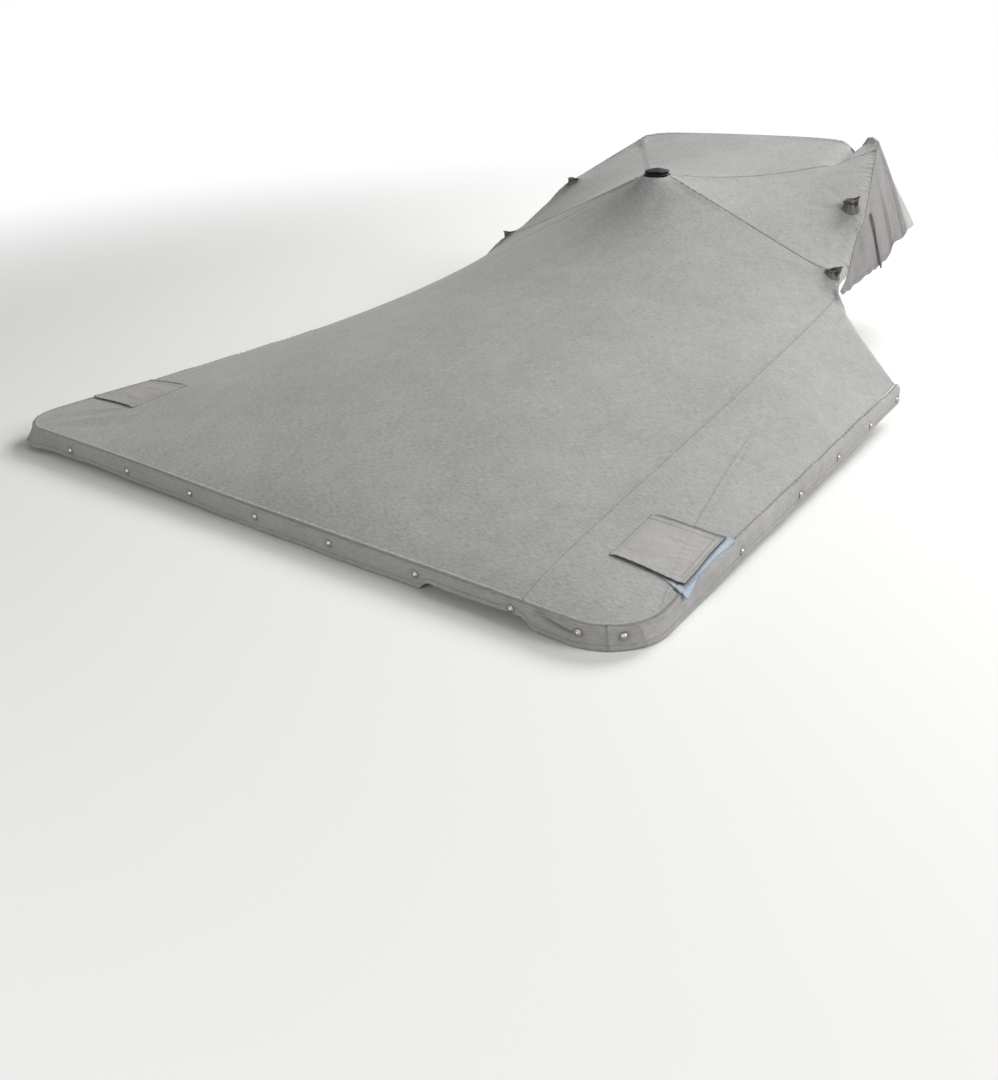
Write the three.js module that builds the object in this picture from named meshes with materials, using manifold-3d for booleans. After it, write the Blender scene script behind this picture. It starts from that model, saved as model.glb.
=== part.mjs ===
// Fitted cover for the open cockpit and windscreen of a small boat.
// One taut canvas top is held up by a pole seat under the vent, by four frame legs that pass
// through sewn boots, and by the windscreen. Its hem is a band with press studs.
// Millimetres, +Z up, +Y towards the bow, +X to starboard.
// The shape is worked out from the middle of the stern hem, at the height of the studs,
// and the whole group is then moved so that the pole seat under the vent is the origin.
import * as THREE from 'three';
import { mergeVertices } from 'three/addons/utils/BufferGeometryUtils.js';
import Module from 'manifold-3d';

const wasm = await Module();
wasm.setup();

// ---- cloth and hem --------------------------------------------------------------------------
const CLOTH = 2.2;              // thickness of the canvas
const GAP = 0.4;                // clearance between sewn pieces
const BAND_HEIGHT = 68;         // hem band round the stern and the sides
const BAND_CLOTH = 2.4;         // the band is doubled, so a little thicker
const BAND_GAP = 1.1;           // the band stands this far off the edge of the top
const HEM_X = 1146;             // half width at the stern corners
const CORNER_R = 146;           // round stern corners
const HEM_LENGTH = 1728;        // length of the side hem
const SIDE_TAPER = 106;         // how far each side comes in over that length
const SHEER = 11.5e-6;          // rise of the hem towards the bow, per mm squared

// ---- what holds the top up ------------------------------------------------------------------
const VENT = { x: 0, y: 1963, z: 604, flat: 58 };
const LIFT = 0.28e-3;           // crown of the cloth, as a fall in slope per mm
const ROOF_SEAM = { x: 505, y: 2680, z: 632, sag: 40 };     // from the vent, both sides
const LEGS = [
  { name: 'aft', x: 683, y: 1978, z: 320, foot: 29, top: 23, height: 28, lean: 10 },
  { name: 'forward', x: 596, y: 2300, z: 490, foot: 34, top: 26, height: 32, lean: -6 },
];
const LEG_HOLE_R = 18;
const BOOT_SIDES = 10;
const SEAM_PAST_BOOT = { x: 753, y: 1950 };                // where the aft ridge's seam runs out
const SIDES = [{ side: 'starboard', s: 1 }, { side: 'port', s: -1 }];

// Plain hem that climbs from the end of the side band to the foot of the aft boot.
const FORWARD_EDGE = [
  { x: 1037, y: 1728, z: 68 },
  { x: 857, y: 1848, z: 174 },
  { x: 777, y: 1901, z: 228 },
];
// Ridge between the top and the windscreen wings. The port one stands a little higher.
const SHOULDER = [
  { x: 728, y: 1935, starboard: 286, port: 290 },
  { x: 702, y: 2060, starboard: 312, port: 338 },
  { x: 664, y: 2200, starboard: 400, port: 422 },
  { x: 636, y: 2330, starboard: 478, port: 492 },
];
const ROOF_CORNER = { starboard: { x: 494, y: 2750, z: 665 }, port: { x: 530, y: 2750, z: 640 } };
const ROOF_Y = 2750;
// Windscreen header, from port to starboard, with the dip beside the starboard corner.
const HEADER = [
  { x: -530, z: 640 },
  { x: -400, z: 656 },
  { x: 0, z: 664 },
  { x: 320, z: 661 },
  { x: 390, z: 635 },
  { x: 421, z: 609 },
  { x: 433, z: 641 },
  { x: 448, z: 665 },
  { x: 470, z: 675 },
  { x: 494, z: 665 },
];
// Lower edge of a wing, along the side deck, stepping up beside the windscreen.
const WING_FOOT = [
  { x: 734, y: 1950, z: 270 },
  { x: 712, y: 2060, z: 262 },
  { x: 694, y: 2220, z: 268 },
  { x: 678, y: 2430, z: 278 },
  { x: 660, y: 2555, z: 290 },
  { x: 658, y: 2588, z: 324 },
  { x: 654, y: 2670, z: 324 },
  { x: 646, y: 2748, z: 342 },
];
// Lower edge of the front panel, from the starboard wing round to the middle line.
const FRONT_FOOT = [
  { x: 646, y: 2752, z: 342 },
  { x: 604, y: 2930, z: 340 },
  { x: 440, y: 3040, z: 337 },
  { x: 0, y: 3085, z: 334 },
];

// Long seam on the starboard side only, in plan.
const SIDE_SEAM = [
  { x: 868, y: 0 },
  { x: 763, y: 1350 },
  { x: 729, y: 1935 },
];

// ---- fittings -------------------------------------------------------------------------------
const VENT_NECK_R = 27;
const VENT_FLANGE_R = 45;
const VENT_SIDES = 16;
const STUD_R = 7.5;
const STUD_HEIGHT = 4.2;
const STUD_CLEAR = 0.3;
const STUD_SIDES = 8;
const STERN_STUDS = [-845, -557, -270, 0, 275, 562, 843];
const CORNER_STUDS = [                                     // degrees round each corner
  { side: 'starboard', s: 1, degrees: -82 },
  { side: 'starboard', s: 1, degrees: -44 },
  { side: 'port', s: -1, degrees: -44 },
];
const SIDE_STUDS = [532, 904, 1187, 1458, 1704];
const SIDE_BAND_RISE = { from: 250, to: 500, rise: 14 };    // over this run of the side
const PORT_BAND_RISE = { from: -100, to: 800, rise: 12 };
const NOTCH = { x0: 572, x1: 902, rise: 23, slope: 34 };   // for a hand rail under the band
const CORNER_BAND = { from: -55, to: -27 };                // degrees that a corner piece covers
const FLAPS = {
  starboard: [{ x: 938, y: 242 }, { x: 920, y: 452 }, { x: 1100, y: 490 }, { x: 1129, y: 246 }],
  port: [{ x: 850, y: 236 }, { x: 830, y: 436 }, { x: 1098, y: 484 }, { x: 1122, y: 272 }],
};
const PATCH = [
  { x: 955, y: 262 }, { x: 938, y: 440 }, { x: 1112, y: 501 }, { x: 1133, y: 216 },
];
const LAY_GAP = 0.6;             // between a flap and the cloth it lies on
const PATCH_CLOTH = 1;
const STRAP = {
  yTop: 2386, yFoot: 2422, width: 22, from: 0.22, to: 0.96, cloth: 1.6, clear: 0.75, segments: 6,
};

// ---- materials ------------------------------------------------------------------------------
const cloth = (color, roughness = 0.92) => () =>
  new THREE.MeshStandardMaterial({ color, roughness, metalness: 0 });
const canvas = cloth(0xa6a6a3);
const bandCloth = cloth(0x8a8986);
const bootCloth = cloth(0x7f7a74);
const strapWeb = cloth(0x565350, 0.8);
const bluePatch = cloth(0x9fb2c4, 0.85);
const blackPlastic = cloth(0x17181a, 0.45);
const nickel = () => new THREE.MeshStandardMaterial({ color: 0xc9c8c4, roughness: 0.3, metalness: 0.9 });

const cover = new THREE.Group();
cover.name = 'cockpit_cover';
cover.position.set(-VENT.x, -VENT.y, -(VENT.z - CLOTH));

function add(name, geometry, material) {
  const mesh = new THREE.Mesh(geometry, material());
  mesh.name = name;
  cover.add(mesh);
  return mesh;
}

// ---- lines ----------------------------------------------------------------------------------
const vec = (p) => new THREE.Vector3(p.x, p.y, p.z ?? 0);
const mirror = (p, s) => ({ ...p, x: p.x * s });

// Points on the rounded, tapering hem, from the middle of the stern to the end of one side.
function hemPoint(distance, s) {
  const straight = HEM_X - CORNER_R;
  const arc = CORNER_R * Math.PI / 2;
  if (distance <= straight) return { x: s * distance, y: 0, nx: 0, ny: -1 };
  if (distance < straight + arc) {
    const a = (distance - straight) / CORNER_R - Math.PI / 2;
    const nx = Math.cos(a);
    const ny = Math.sin(a);
    return { x: s * (straight + CORNER_R * nx), y: CORNER_R + CORNER_R * ny, nx: s * nx, ny };
  }
  const y = CORNER_R + distance - straight - arc;
  const taper = SIDE_TAPER / (HEM_LENGTH - CORNER_R);
  const x = HEM_X - taper * (y - CORNER_R);
  const slant = Math.hypot(1, taper);
  return { x: s * x, y, nx: s / slant, ny: taper / slant };
}
const CORNER_START = HEM_X - CORNER_R;
const SIDE_START = CORNER_START + CORNER_R * Math.PI / 2;
const HEM_END = SIDE_START + HEM_LENGTH - CORNER_R;
const sheer = (y) => SHEER * Math.max(y, 0) ** 2;

const shoulder = (side) => SHOULDER.map((p) => ({ x: p.x, y: p.y, z: p[side] }));

// Places along a line of points, evenly by length.
function divide(points, count) {
  const at = points.map(vec);
  const run = [0];
  for (let i = 1; i < at.length; i += 1) run.push(run[i - 1] + at[i].distanceTo(at[i - 1]));
  const out = [];
  for (let k = 0; k <= count; k += 1) {
    const d = run[run.length - 1] * k / count;
    let i = 1;
    while (i < at.length - 1 && run[i] < d) i += 1;
    const t = (d - run[i - 1]) / (run[i] - run[i - 1]);
    out.push(at[i - 1].clone().lerp(at[i], t));
  }
  return out;
}

// Outline of the top in plan with its supported heights, once round from the stern's middle.
function outlineOfTop(step) {
  const half = (side, s) => {
    const points = [];
    const count = Math.round(HEM_END / step);
    for (let i = 0; i <= count; i += 1) {
      const p = hemPoint(HEM_END * i / count, s);
      points.push(new THREE.Vector3(p.x, p.y, BAND_HEIGHT / 2 + sheer(p.y)));
    }
    const rise = [...FORWARD_EDGE, ...shoulder(side), ROOF_CORNER[side]].map((p) => mirror(p, s));
    const length = rise.reduce((sum, p, i) => sum + (i ? vec(p).distanceTo(vec(rise[i - 1])) : 0), 0);
    points.push(...divide(rise, Math.round(length / step)).slice(1));
    return points;
  };
  const header = divide(HEADER.map((p) => ({ x: p.x, y: ROOF_Y, z: p.z })), Math.round(1000 / step));
  const starboard = half('starboard', 1);
  const port = half('port', -1);
  return [...starboard, ...header.reverse().slice(1, -1), ...port.reverse().slice(0, -1)];
}

function insideOutline(x, y, outline) {
  let within = false;
  for (let i = 0, j = outline.length - 1; i < outline.length; j = i, i += 1) {
    const a = outline[i];
    const b = outline[j];
    const crosses = (a.y > y) !== (b.y > y);
    if (crosses && x < (b.x - a.x) * (y - a.y) / (b.y - a.y) + a.x) within = !within;
  }
  return within;
}

// ---- the taut surface ----------------------------------------------------------------------
// Heights on a grid, relaxed like a stretched membrane between the hem, the shoulders, the
// header, the vent, the two straight ridges that run from the vent to the aft boots and the two
// slack ones that run from it to the roof corners.
const FINE = 25;
const GRID = { x0: -1300, y0: -30, nx: 104, ny: 116 };
const SWEEPS = 420;
const OVER_RELAX = 1.88;
const HEM_STEP = 9;             // spacing of the supported heights along the outline
const TRIM_STEP = 60;           // spacing of the straight cuts that trim the panels
const RIDGE_STEPS = 60;
const ON_SEAM = 0.55;           // share of a grid step within which a seam holds the cloth

function nearestHeight(x, y, points) {
  let best = Infinity;
  let z = 0;
  for (const p of points) {
    const d = (p.x - x) ** 2 + (p.y - y) ** 2;
    if (d < best) {
      best = d;
      z = p.z;
    }
  }
  return { distance: Math.sqrt(best), z };
}

// A seam from the rim of the flat round the vent to a place that holds it, with its sag.
function ridge(end, sag) {
  const start = VENT.flat / Math.hypot(end.x - VENT.x, end.y - VENT.y);
  return Array.from({ length: RIDGE_STEPS + 1 }, (_, k) => {
    const t = k / RIDGE_STEPS;
    const p = vec(VENT).lerp(vec({ ...end, z: VENT.z }), start + (1 - start) * t);
    p.z = VENT.z + (end.z - VENT.z) * t - 4 * sag * t * (1 - t);
    return p;
  });
}

function solveTop() {
  const outline = outlineOfTop(HEM_STEP);
  const ridges = SIDES.flatMap(({ s }) => [
    ...ridge(mirror(LEGS[0], s), 0),
    ...ridge(mirror(ROOF_SEAM, s), ROOF_SEAM.sag),
  ]);
  const { nx, ny } = GRID;
  const heights = new Float64Array((nx + 1) * (ny + 1));
  const held = new Uint8Array(heights.length);
  for (let i = 0; i <= nx; i += 1) {
    for (let j = 0; j <= ny; j += 1) {
      const x = GRID.x0 + i * FINE;
      const y = GRID.y0 + j * FINE;
      const k = i * (ny + 1) + j;
      const edge = nearestHeight(x, y, outline);
      const seam = nearestHeight(x, y, ridges);
      const atEdge = !insideOutline(x, y, outline) || edge.distance < FINE / 2;
      const underVent = Math.hypot(x - VENT.x, y - VENT.y) < VENT.flat;
      const onSeam = seam.distance < FINE * ON_SEAM;
      heights[k] = edge.z;
      if (!atEdge && underVent) heights[k] = VENT.z;
      if (!atEdge && !underVent && onSeam) heights[k] = seam.z;
      held[k] = atEdge || underVent || onSeam ? 1 : 0;
    }
  }
  const lift = LIFT * FINE * FINE / 4;
  for (let sweep = 0; sweep < SWEEPS; sweep += 1) {
    for (let i = 1; i < nx; i += 1) {
      for (let j = 1; j < ny; j += 1) {
        const k = i * (ny + 1) + j;
        if (held[k]) continue;
        const around = heights[k - 1] + heights[k + 1] + heights[k - ny - 1] + heights[k + ny + 1];
        heights[k] += OVER_RELAX * (around / 4 + lift - heights[k]);
      }
    }
  }
  return heights;
}
const heights = solveTop();

// The canvas has flat cells four grid steps wide, and two steps wide round the vent.
const CELL = 4 * FINE;
const NEAR_VENT = [-CELL, -CELL / 2, 0, CELL / 2, CELL];

function cellLines(start, steps, middle) {
  const lines = [];
  for (let at = start; at <= start + steps * FINE; at += CELL) {
    if (Math.abs(at - middle) > CELL) lines.push(at);
  }
  lines.push(...NEAR_VENT.map((d) => middle + d));
  return lines.sort((p, q) => p - q);
}
const linesX = cellLines(GRID.x0, GRID.nx, 0);
const RIDGE_LINE = GRID.y0 + 20 * CELL;      // the grid line that lies along the aft ridges
const linesY = cellLines(GRID.y0, GRID.ny, RIDGE_LINE);

function gridHeight(x, y) {
  const i = Math.round((x - GRID.x0) / FINE);
  const j = Math.round((y - GRID.y0) / FINE);
  return heights[i * (GRID.ny + 1) + j];
}

// ---- closed sheets and booleans --------------------------------------------------------------
// A grid of points, thickened towards the back of its faces, as one closed body.
function closedSheet(rows, thickness) {
  const m = rows.length;
  const n = rows[0].length;
  const normal = (i, j) => {
    const du = rows[Math.min(i + 1, m - 1)][j].clone().sub(rows[Math.max(i - 1, 0)][j]);
    const dv = rows[i][Math.min(j + 1, n - 1)].clone().sub(rows[i][Math.max(j - 1, 0)]);
    return du.cross(dv).normalize();
  };
  const position = [];
  for (const back of [0, thickness]) {
    for (let i = 0; i < m; i += 1) {
      for (let j = 0; j < n; j += 1) {
        const p = rows[i][j].clone().addScaledVector(normal(i, j), -back);
        position.push(p.x, p.y, p.z);
      }
    }
  }
  const index = [];
  const quad = (a, b, c, d) => index.push(a, b, c, a, c, d);
  const back = m * n;
  for (let i = 0; i < m - 1; i += 1) {
    for (let j = 0; j < n - 1; j += 1) {
      const [a, b, c, d] = [i * n + j, (i + 1) * n + j, (i + 1) * n + j + 1, i * n + j + 1];
      quad(a, b, c, d);
      quad(back + a, back + d, back + c, back + b);
    }
  }
  const edge = (a, b) => quad(a, back + a, back + b, b);
  for (let i = 0; i < m - 1; i += 1) {
    edge(i * n, (i + 1) * n);
    edge((i + 2) * n - 1, (i + 1) * n - 1);
  }
  for (let j = 0; j < n - 1; j += 1) {
    edge(j + 1, j);
    edge((m - 1) * n + j, (m - 1) * n + j + 1);
  }
  const geometry = new THREE.BufferGeometry();
  geometry.setAttribute('position', new THREE.Float32BufferAttribute(position, 3));
  geometry.setIndex(index);
  return geometry;
}

function solidOf(geometry) {
  const bare = geometry.clone();
  for (const name of Object.keys(bare.attributes)) {
    if (name !== 'position') bare.deleteAttribute(name);
  }
  const merged = mergeVertices(bare, 1e-4);
  const vertProperties = new Float32Array(merged.attributes.position.array);
  const triVerts = new Uint32Array(merged.index.array);
  return new wasm.Manifold(new wasm.Mesh({ numProp: 3, vertProperties, triVerts }));
}

function geometryOf(solid) {
  const mesh = solid.getMesh();
  const geometry = new THREE.BufferGeometry();
  geometry.setAttribute('position', new THREE.BufferAttribute(new Float32Array(mesh.vertProperties), 3));
  geometry.setIndex(new THREE.BufferAttribute(new Uint32Array(mesh.triVerts), 1));
  return geometry;
}

const LOW = -300;
const HIGH = 1200;
const CRUMB = 1e4;              // slivers left by a cut, in cubic mm, are dropped
const PROBE = 1;
const SEAM_OVERRUN = { stern: 40, boot: 28, roof: 120 };    // past the edges a seam ends on
// An upright wall of any plan outline, used to trim and cut the canvas.
function prism(points) {
  const shape = new THREE.Shape(points.map((p) => new THREE.Vector2(p.x, p.y)));
  const geometry = new THREE.ExtrudeGeometry(shape, { depth: HIGH - LOW, bevelEnabled: false });
  geometry.translate(0, 0, LOW);
  return solidOf(geometry);
}

function seamKnife(points) {
  const first = points[0];
  const last = points[points.length - 1];
  const along = new THREE.Vector2(last.x - first.x, last.y - first.y).normalize();
  const side = new THREE.Vector2(-along.y, along.x).multiplyScalar(GAP / 2);
  const left = points.map((p) => ({ x: p.x + side.x, y: p.y + side.y }));
  const right = points.map((p) => ({ x: p.x - side.x, y: p.y - side.y }));
  return prism([...left, ...right.reverse()]);
}

// ---- the top, cut along its seams -------------------------------------------------------------
function canvasSlab(raise, thickness) {
  const rows = linesX.map((x) => linesY.map((y) => new THREE.Vector3(x, y, gridHeight(x, y) + raise)));
  return solidOf(closedSheet(rows, thickness));
}

// The outline of the top in plan, moved outwards by a clearance.
function trimLine(clearance) {
  const points = outlineOfTop(TRIM_STEP);
  return points.map((p, i) => {
    const before = points[(i + points.length - 1) % points.length];
    const after = points[(i + 1) % points.length];
    const along = new THREE.Vector2(after.x - before.x, after.y - before.y).normalize();
    return { x: p.x + along.y * clearance, y: p.y - along.x * clearance };
  });
}

function makeTop() {
  let whole = canvasSlab(0, CLOTH).intersect(prism(trimLine(0)));
  const round = (x, y, r, sides) => {
    const hole = new THREE.CylinderGeometry(r, r, HIGH - LOW, sides);
    hole.rotateX(Math.PI / 2);
    hole.translate(x, y, (HIGH + LOW) / 2);
    return solidOf(hole);
  };
  whole = whole.subtract(round(VENT.x, VENT.y, VENT_NECK_R + 3 * GAP, VENT_SIDES));
  for (const leg of LEGS) {
    for (const { s } of SIDES) whole = whole.subtract(round(s * leg.x, leg.y, LEG_HOLE_R, BOOT_SIDES));
  }
  const reach = (a, b, more) => {
    const t = 1 + more / Math.hypot(b.x - a.x, b.y - a.y);
    return { x: a.x + (b.x - a.x) * t, y: a.y + (b.y - a.y) * t };
  };
  const [sternEnd, middle, bootEnd] = SIDE_SEAM;
  whole = whole.subtract(seamKnife([
    reach(middle, sternEnd, SEAM_OVERRUN.stern), middle, reach(middle, bootEnd, SEAM_OVERRUN.boot),
  ]));
  for (const { s } of SIDES) {
    const boot = mirror(LEGS[0], s);
    whole = whole.subtract(seamKnife([VENT, boot]));
    whole = whole.subtract(seamKnife([boot, mirror(SEAM_PAST_BOOT, s)]));
    whole = whole.subtract(seamKnife([VENT, reach(VENT, mirror(ROOF_SEAM, s), SEAM_OVERRUN.roof)]));
  }
  const panels = [
    { name: 'aft_panel', x: 0, y: 1000 },
    { name: 'starboard_side_panel', x: 960, y: 900 },
    { name: 'starboard_roof_side_panel', x: 450, y: 2150 },
    { name: 'port_roof_side_panel', x: -450, y: 2150 },
    { name: 'roof_front_panel', x: 0, y: 2600 },
  ];
  const pieces = whole.decompose().filter((piece) => piece.volume() > CRUMB);
  for (const panel of panels) {
    const probe = prism([
      { x: panel.x - PROBE, y: panel.y - PROBE },
      { x: panel.x + PROBE, y: panel.y - PROBE },
      { x: panel.x, y: panel.y + PROBE },
    ]);
    const piece = pieces.find((candidate) => candidate.intersect(probe).volume() > 0);
    add(panel.name, geometryOf(piece), canvas);
  }
}

// ---- vent -------------------------------------------------------------------------------------
// A moulded base whose flange clamps the cloth and whose neck stands on the pole, and its cap.
const VENT_BASE = [
  [0, -CLOTH], [VENT_NECK_R, -CLOTH], [VENT_NECK_R, 0.5], [VENT_FLANGE_R, 0.5], [VENT_FLANGE_R, 8],
  [40, 10], [40, 12], [0, 12],
];
const VENT_CAP = [[0, 12.4], [43, 12.4], [45.5, 15], [44, 18.5], [18, 26], [0, 27]];
const CAP_SIDES = 8;

function makeVent() {
  const lathe = (profile, sides) => {
    const geometry = new THREE.LatheGeometry(profile.map(([r, z]) => new THREE.Vector2(r, z)), sides);
    geometry.rotateX(Math.PI / 2);
    geometry.translate(VENT.x, VENT.y, VENT.z);
    return geometry;
  };
  add('vent_base', lathe(VENT_BASE, VENT_SIDES), blackPlastic);
  add('vent_cap', lathe(VENT_CAP, CAP_SIDES), blackPlastic);
}

// ---- sewn boots round the frame legs -----------------------------------------------------------
// Each collar runs down past the cloth before it is cut off just above it.
const BOOT = { cloth: 3, rim: 2.5, root: -30, bend: -6, taper: 8, drawIn: 4, clear: 0.9, cutDepth: 60 };

function makeBoots() {
  const ground = canvasSlab(BOOT.clear, BOOT.cutDepth);
  for (const leg of LEGS) {
    for (const { side, s } of SIDES) {
      const inner = leg.foot - BOOT.cloth;
      const shoulderR = leg.foot - BOOT.drawIn;
      const profile = [
        [inner, BOOT.root], [leg.foot, BOOT.root], [leg.foot, BOOT.bend], [shoulderR, BOOT.taper],
        [leg.top, leg.height], [leg.top - BOOT.rim, leg.height],
        [shoulderR - BOOT.rim, BOOT.taper], [inner, BOOT.bend], [inner, BOOT.root],
      ];
      const points = profile.map(([r, z]) => new THREE.Vector2(r, z));
      const collar = new THREE.LatheGeometry(points, BOOT_SIDES);
      collar.rotateX(Math.PI / 2);
      collar.rotateY(THREE.MathUtils.degToRad(s * leg.lean));
      collar.translate(s * leg.x, leg.y, leg.z);
      const pieces = solidOf(collar).subtract(ground).decompose();
      pieces.sort((p, q) => q.volume() - p.volume());
      add(`${side}_${leg.name}_boot`, geometryOf(pieces[0]), bootCloth);
    }
  }
}

// ---- wings and front ---------------------------------------------------------------------------
const WING = { bulge: 3, more: 5, startForward: 12, startDown: 4, endBack: 2, across: 3, lengthwise: 16 };

function along(table, y) {
  let i = 1;
  while (i < table.length - 1 && table[i].y < y) i += 1;
  const t = (y - table[i - 1].y) / (table[i].y - table[i - 1].y);
  return vec(table[i - 1]).lerp(vec(table[i]), t);
}

// A place on a wing: u runs forward, from 0 to 1, and v down from the shoulder to the foot.
function wingSurface(side, s) {
  const head = [...shoulder(side), ROOF_CORNER[side]].map((p) => ({ x: p.x + GAP, y: p.y, z: p.z - 1 }));
  head[0].y += WING.startForward;
  head[0].z -= WING.startDown;
  head[head.length - 1].y -= WING.endBack;
  const point = (u, v) => {
    const top = along(head, THREE.MathUtils.lerp(head[0].y, head.at(-1).y, u));
    const foot = along(WING_FOOT, THREE.MathUtils.lerp(WING_FOOT[0].y, WING_FOOT.at(-1).y, u));
    const p = top.lerp(foot, v);
    const out = (WING.bulge + WING.more * u) * Math.sin(Math.PI * v);
    return new THREE.Vector3(s * (p.x + out), p.y, p.z);
  };
  const place = (y, v) => (y - point(0, v).y) / (point(1, v).y - point(0, v).y);
  return { point, place };
}

function makeWings() {
  const besideTop = prism(trimLine(GAP));
  for (const { side, s } of SIDES) {
    const wing = wingSurface(side, s);
    const across = spread(0, 1, WING.across);
    const rows = spread(0, 1, WING.lengthwise).map((u) => across.map((v) => wing.point(u, v)));
    if (s > 0) rows.reverse();
    const pieces = solidOf(closedSheet(rows, CLOTH)).subtract(besideTop).decompose();
    pieces.sort((p, q) => q.volume() - p.volume());
    add(`${side}_wing_panel`, geometryOf(pieces[0]), canvas);

    // A dark webbing strap sewn on the wing below the forward boot.
    const strap = [-0.5, 0, 0.5].map((off) => spread(0, 1, STRAP.segments).map((t) => {
      const v = THREE.MathUtils.lerp(STRAP.from, STRAP.to, t);
      const y = THREE.MathUtils.lerp(STRAP.yTop, STRAP.yFoot, t) + off * STRAP.width;
      const p = wing.point(wing.place(y, v), v);
      p.x += s * (STRAP.cloth + STRAP.clear);
      return p;
    }));
    if (s > 0) strap.reverse();
    add(`${side}_wing_strap`, closedSheet(strap, STRAP.cloth), strapWeb);
  }
}

const FRONT = {
  clear: 3, headClear: 0.8, footIn: 8, footUp: 14, headOut: 2, headDown: 6, across: 20, drop: 4,
};

function makeFront() {
  const head = HEADER.map((p) => ({ x: p.x, y: ROOF_Y + FRONT.headClear, z: p.z - 1 }));
  const seam = (side, s) => {
    const corner = ROOF_CORNER[side];
    const foot = FRONT_FOOT[0];
    return divide([
      { x: s * (foot.x - FRONT.footIn), y: ROOF_Y + FRONT.clear, z: foot.z + FRONT.footUp },
      { x: s * (corner.x + FRONT.headOut), y: ROOF_Y + FRONT.clear, z: corner.z - FRONT.headDown },
    ], FRONT.drop);
  };
  const upper = [
    ...seam('port', -1),
    ...divide(head, FRONT.across).slice(1, -1),
    ...seam('starboard', 1).reverse(),
  ];
  const port = FRONT_FOOT.map((p) => mirror(p, -1));
  const foot = new THREE.CatmullRomCurve3([...port, ...FRONT_FOOT.slice(0, -1).reverse()].map(vec));
  const lower = foot.getSpacedPoints(upper.length - 1);
  lower[0].y += FRONT.clear;
  lower[lower.length - 1].y += FRONT.clear;
  const rows = upper.map((top, i) => spread(0, 1, FRONT.drop).map((t) => top.clone().lerp(lower[i], t)));
  add('front_panel', closedSheet(rows.reverse(), CLOTH), canvas);
}

// ---- hem bands ----------------------------------------------------------------------------------
// Signed distances run round the hem from port, through the stern's middle, to starboard.
function bandPoint(distance, out, z) {
  const p = hemPoint(Math.abs(distance), distance < 0 ? -1 : 1);
  return new THREE.Vector3(p.x + p.nx * out, p.y + p.ny * out, z + sheer(p.y));
}

function notchRise(x) {
  if (x <= NOTCH.x0 || x >= NOTCH.x1) return 0;
  const edge = Math.min(x - NOTCH.x0, NOTCH.x1 - x) / NOTCH.slope;
  return NOTCH.rise * Math.sin(Math.min(edge, 1) * Math.PI / 2);
}

// The lower edge stands higher along the sides than round the stern, and rises towards the
// port end of the stern.
function bandLow(d) {
  const notch = Math.abs(d) < CORNER_START ? notchRise(d) : 0;
  const y = Math.abs(d) - SIDE_START + CORNER_R;
  const side = SIDE_BAND_RISE.rise * THREE.MathUtils.smoothstep(y, SIDE_BAND_RISE.from, SIDE_BAND_RISE.to);
  const port = PORT_BAND_RISE.rise * THREE.MathUtils.smoothstep(-d, PORT_BAND_RISE.from, PORT_BAND_RISE.to);
  return -BAND_HEIGHT / 2 + notch + Math.max(side, port);
}

function band(name, stations) {
  const out = BAND_GAP + BAND_CLOTH;
  const rows = stations.map((d) => {
    const low = bandLow(d);
    return [BAND_HEIGHT / 2, (BAND_HEIGHT / 2 + low) / 2, low].map((z) => bandPoint(d, out, z));
  });
  add(name, closedSheet(rows.reverse(), BAND_CLOTH), bandCloth);
}

function spread(a, b, count) {
  return Array.from({ length: count + 1 }, (_, i) => a + (b - a) * i / count);
}

// Distance round the hem of a place on the corner: -90 degrees at the stern, 0 at the side.
const onCorner = (degrees) => CORNER_START + CORNER_R * THREE.MathUtils.degToRad(90 + degrees);

function makeBands() {
  const ends = GAP / 2;
  const cornerStart = onCorner(CORNER_BAND.from);
  const cornerEnd = onCorner(CORNER_BAND.to);
  const stern = [
    ...spread(-cornerStart + ends, -CORNER_START, 4),
    ...spread(-CORNER_START + 100, NOTCH.x0 - 20, 10),
    ...spread(NOTCH.x0, NOTCH.x0 + NOTCH.slope, 4),
    ...spread(NOTCH.x1 - NOTCH.slope, NOTCH.x1, 4),
    NOTCH.x1 + 20,
    ...spread(CORNER_START, cornerStart - ends, 4),
  ];
  band('stern_band', stern);
  for (const { side, s } of SIDES) {
    const corner = spread(cornerStart + ends, cornerEnd - ends, 3).map((d) => d * s);
    const bend = spread(cornerEnd + ends, SIDE_START, 3);
    const run = [...bend, ...spread(SIDE_START + 120, HEM_END, 11)].map((d) => d * s);
    band(`${side}_corner_band`, s > 0 ? corner : corner.reverse());
    band(`${side}_side_band`, s > 0 ? run : run.reverse());
  }
}

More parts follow.
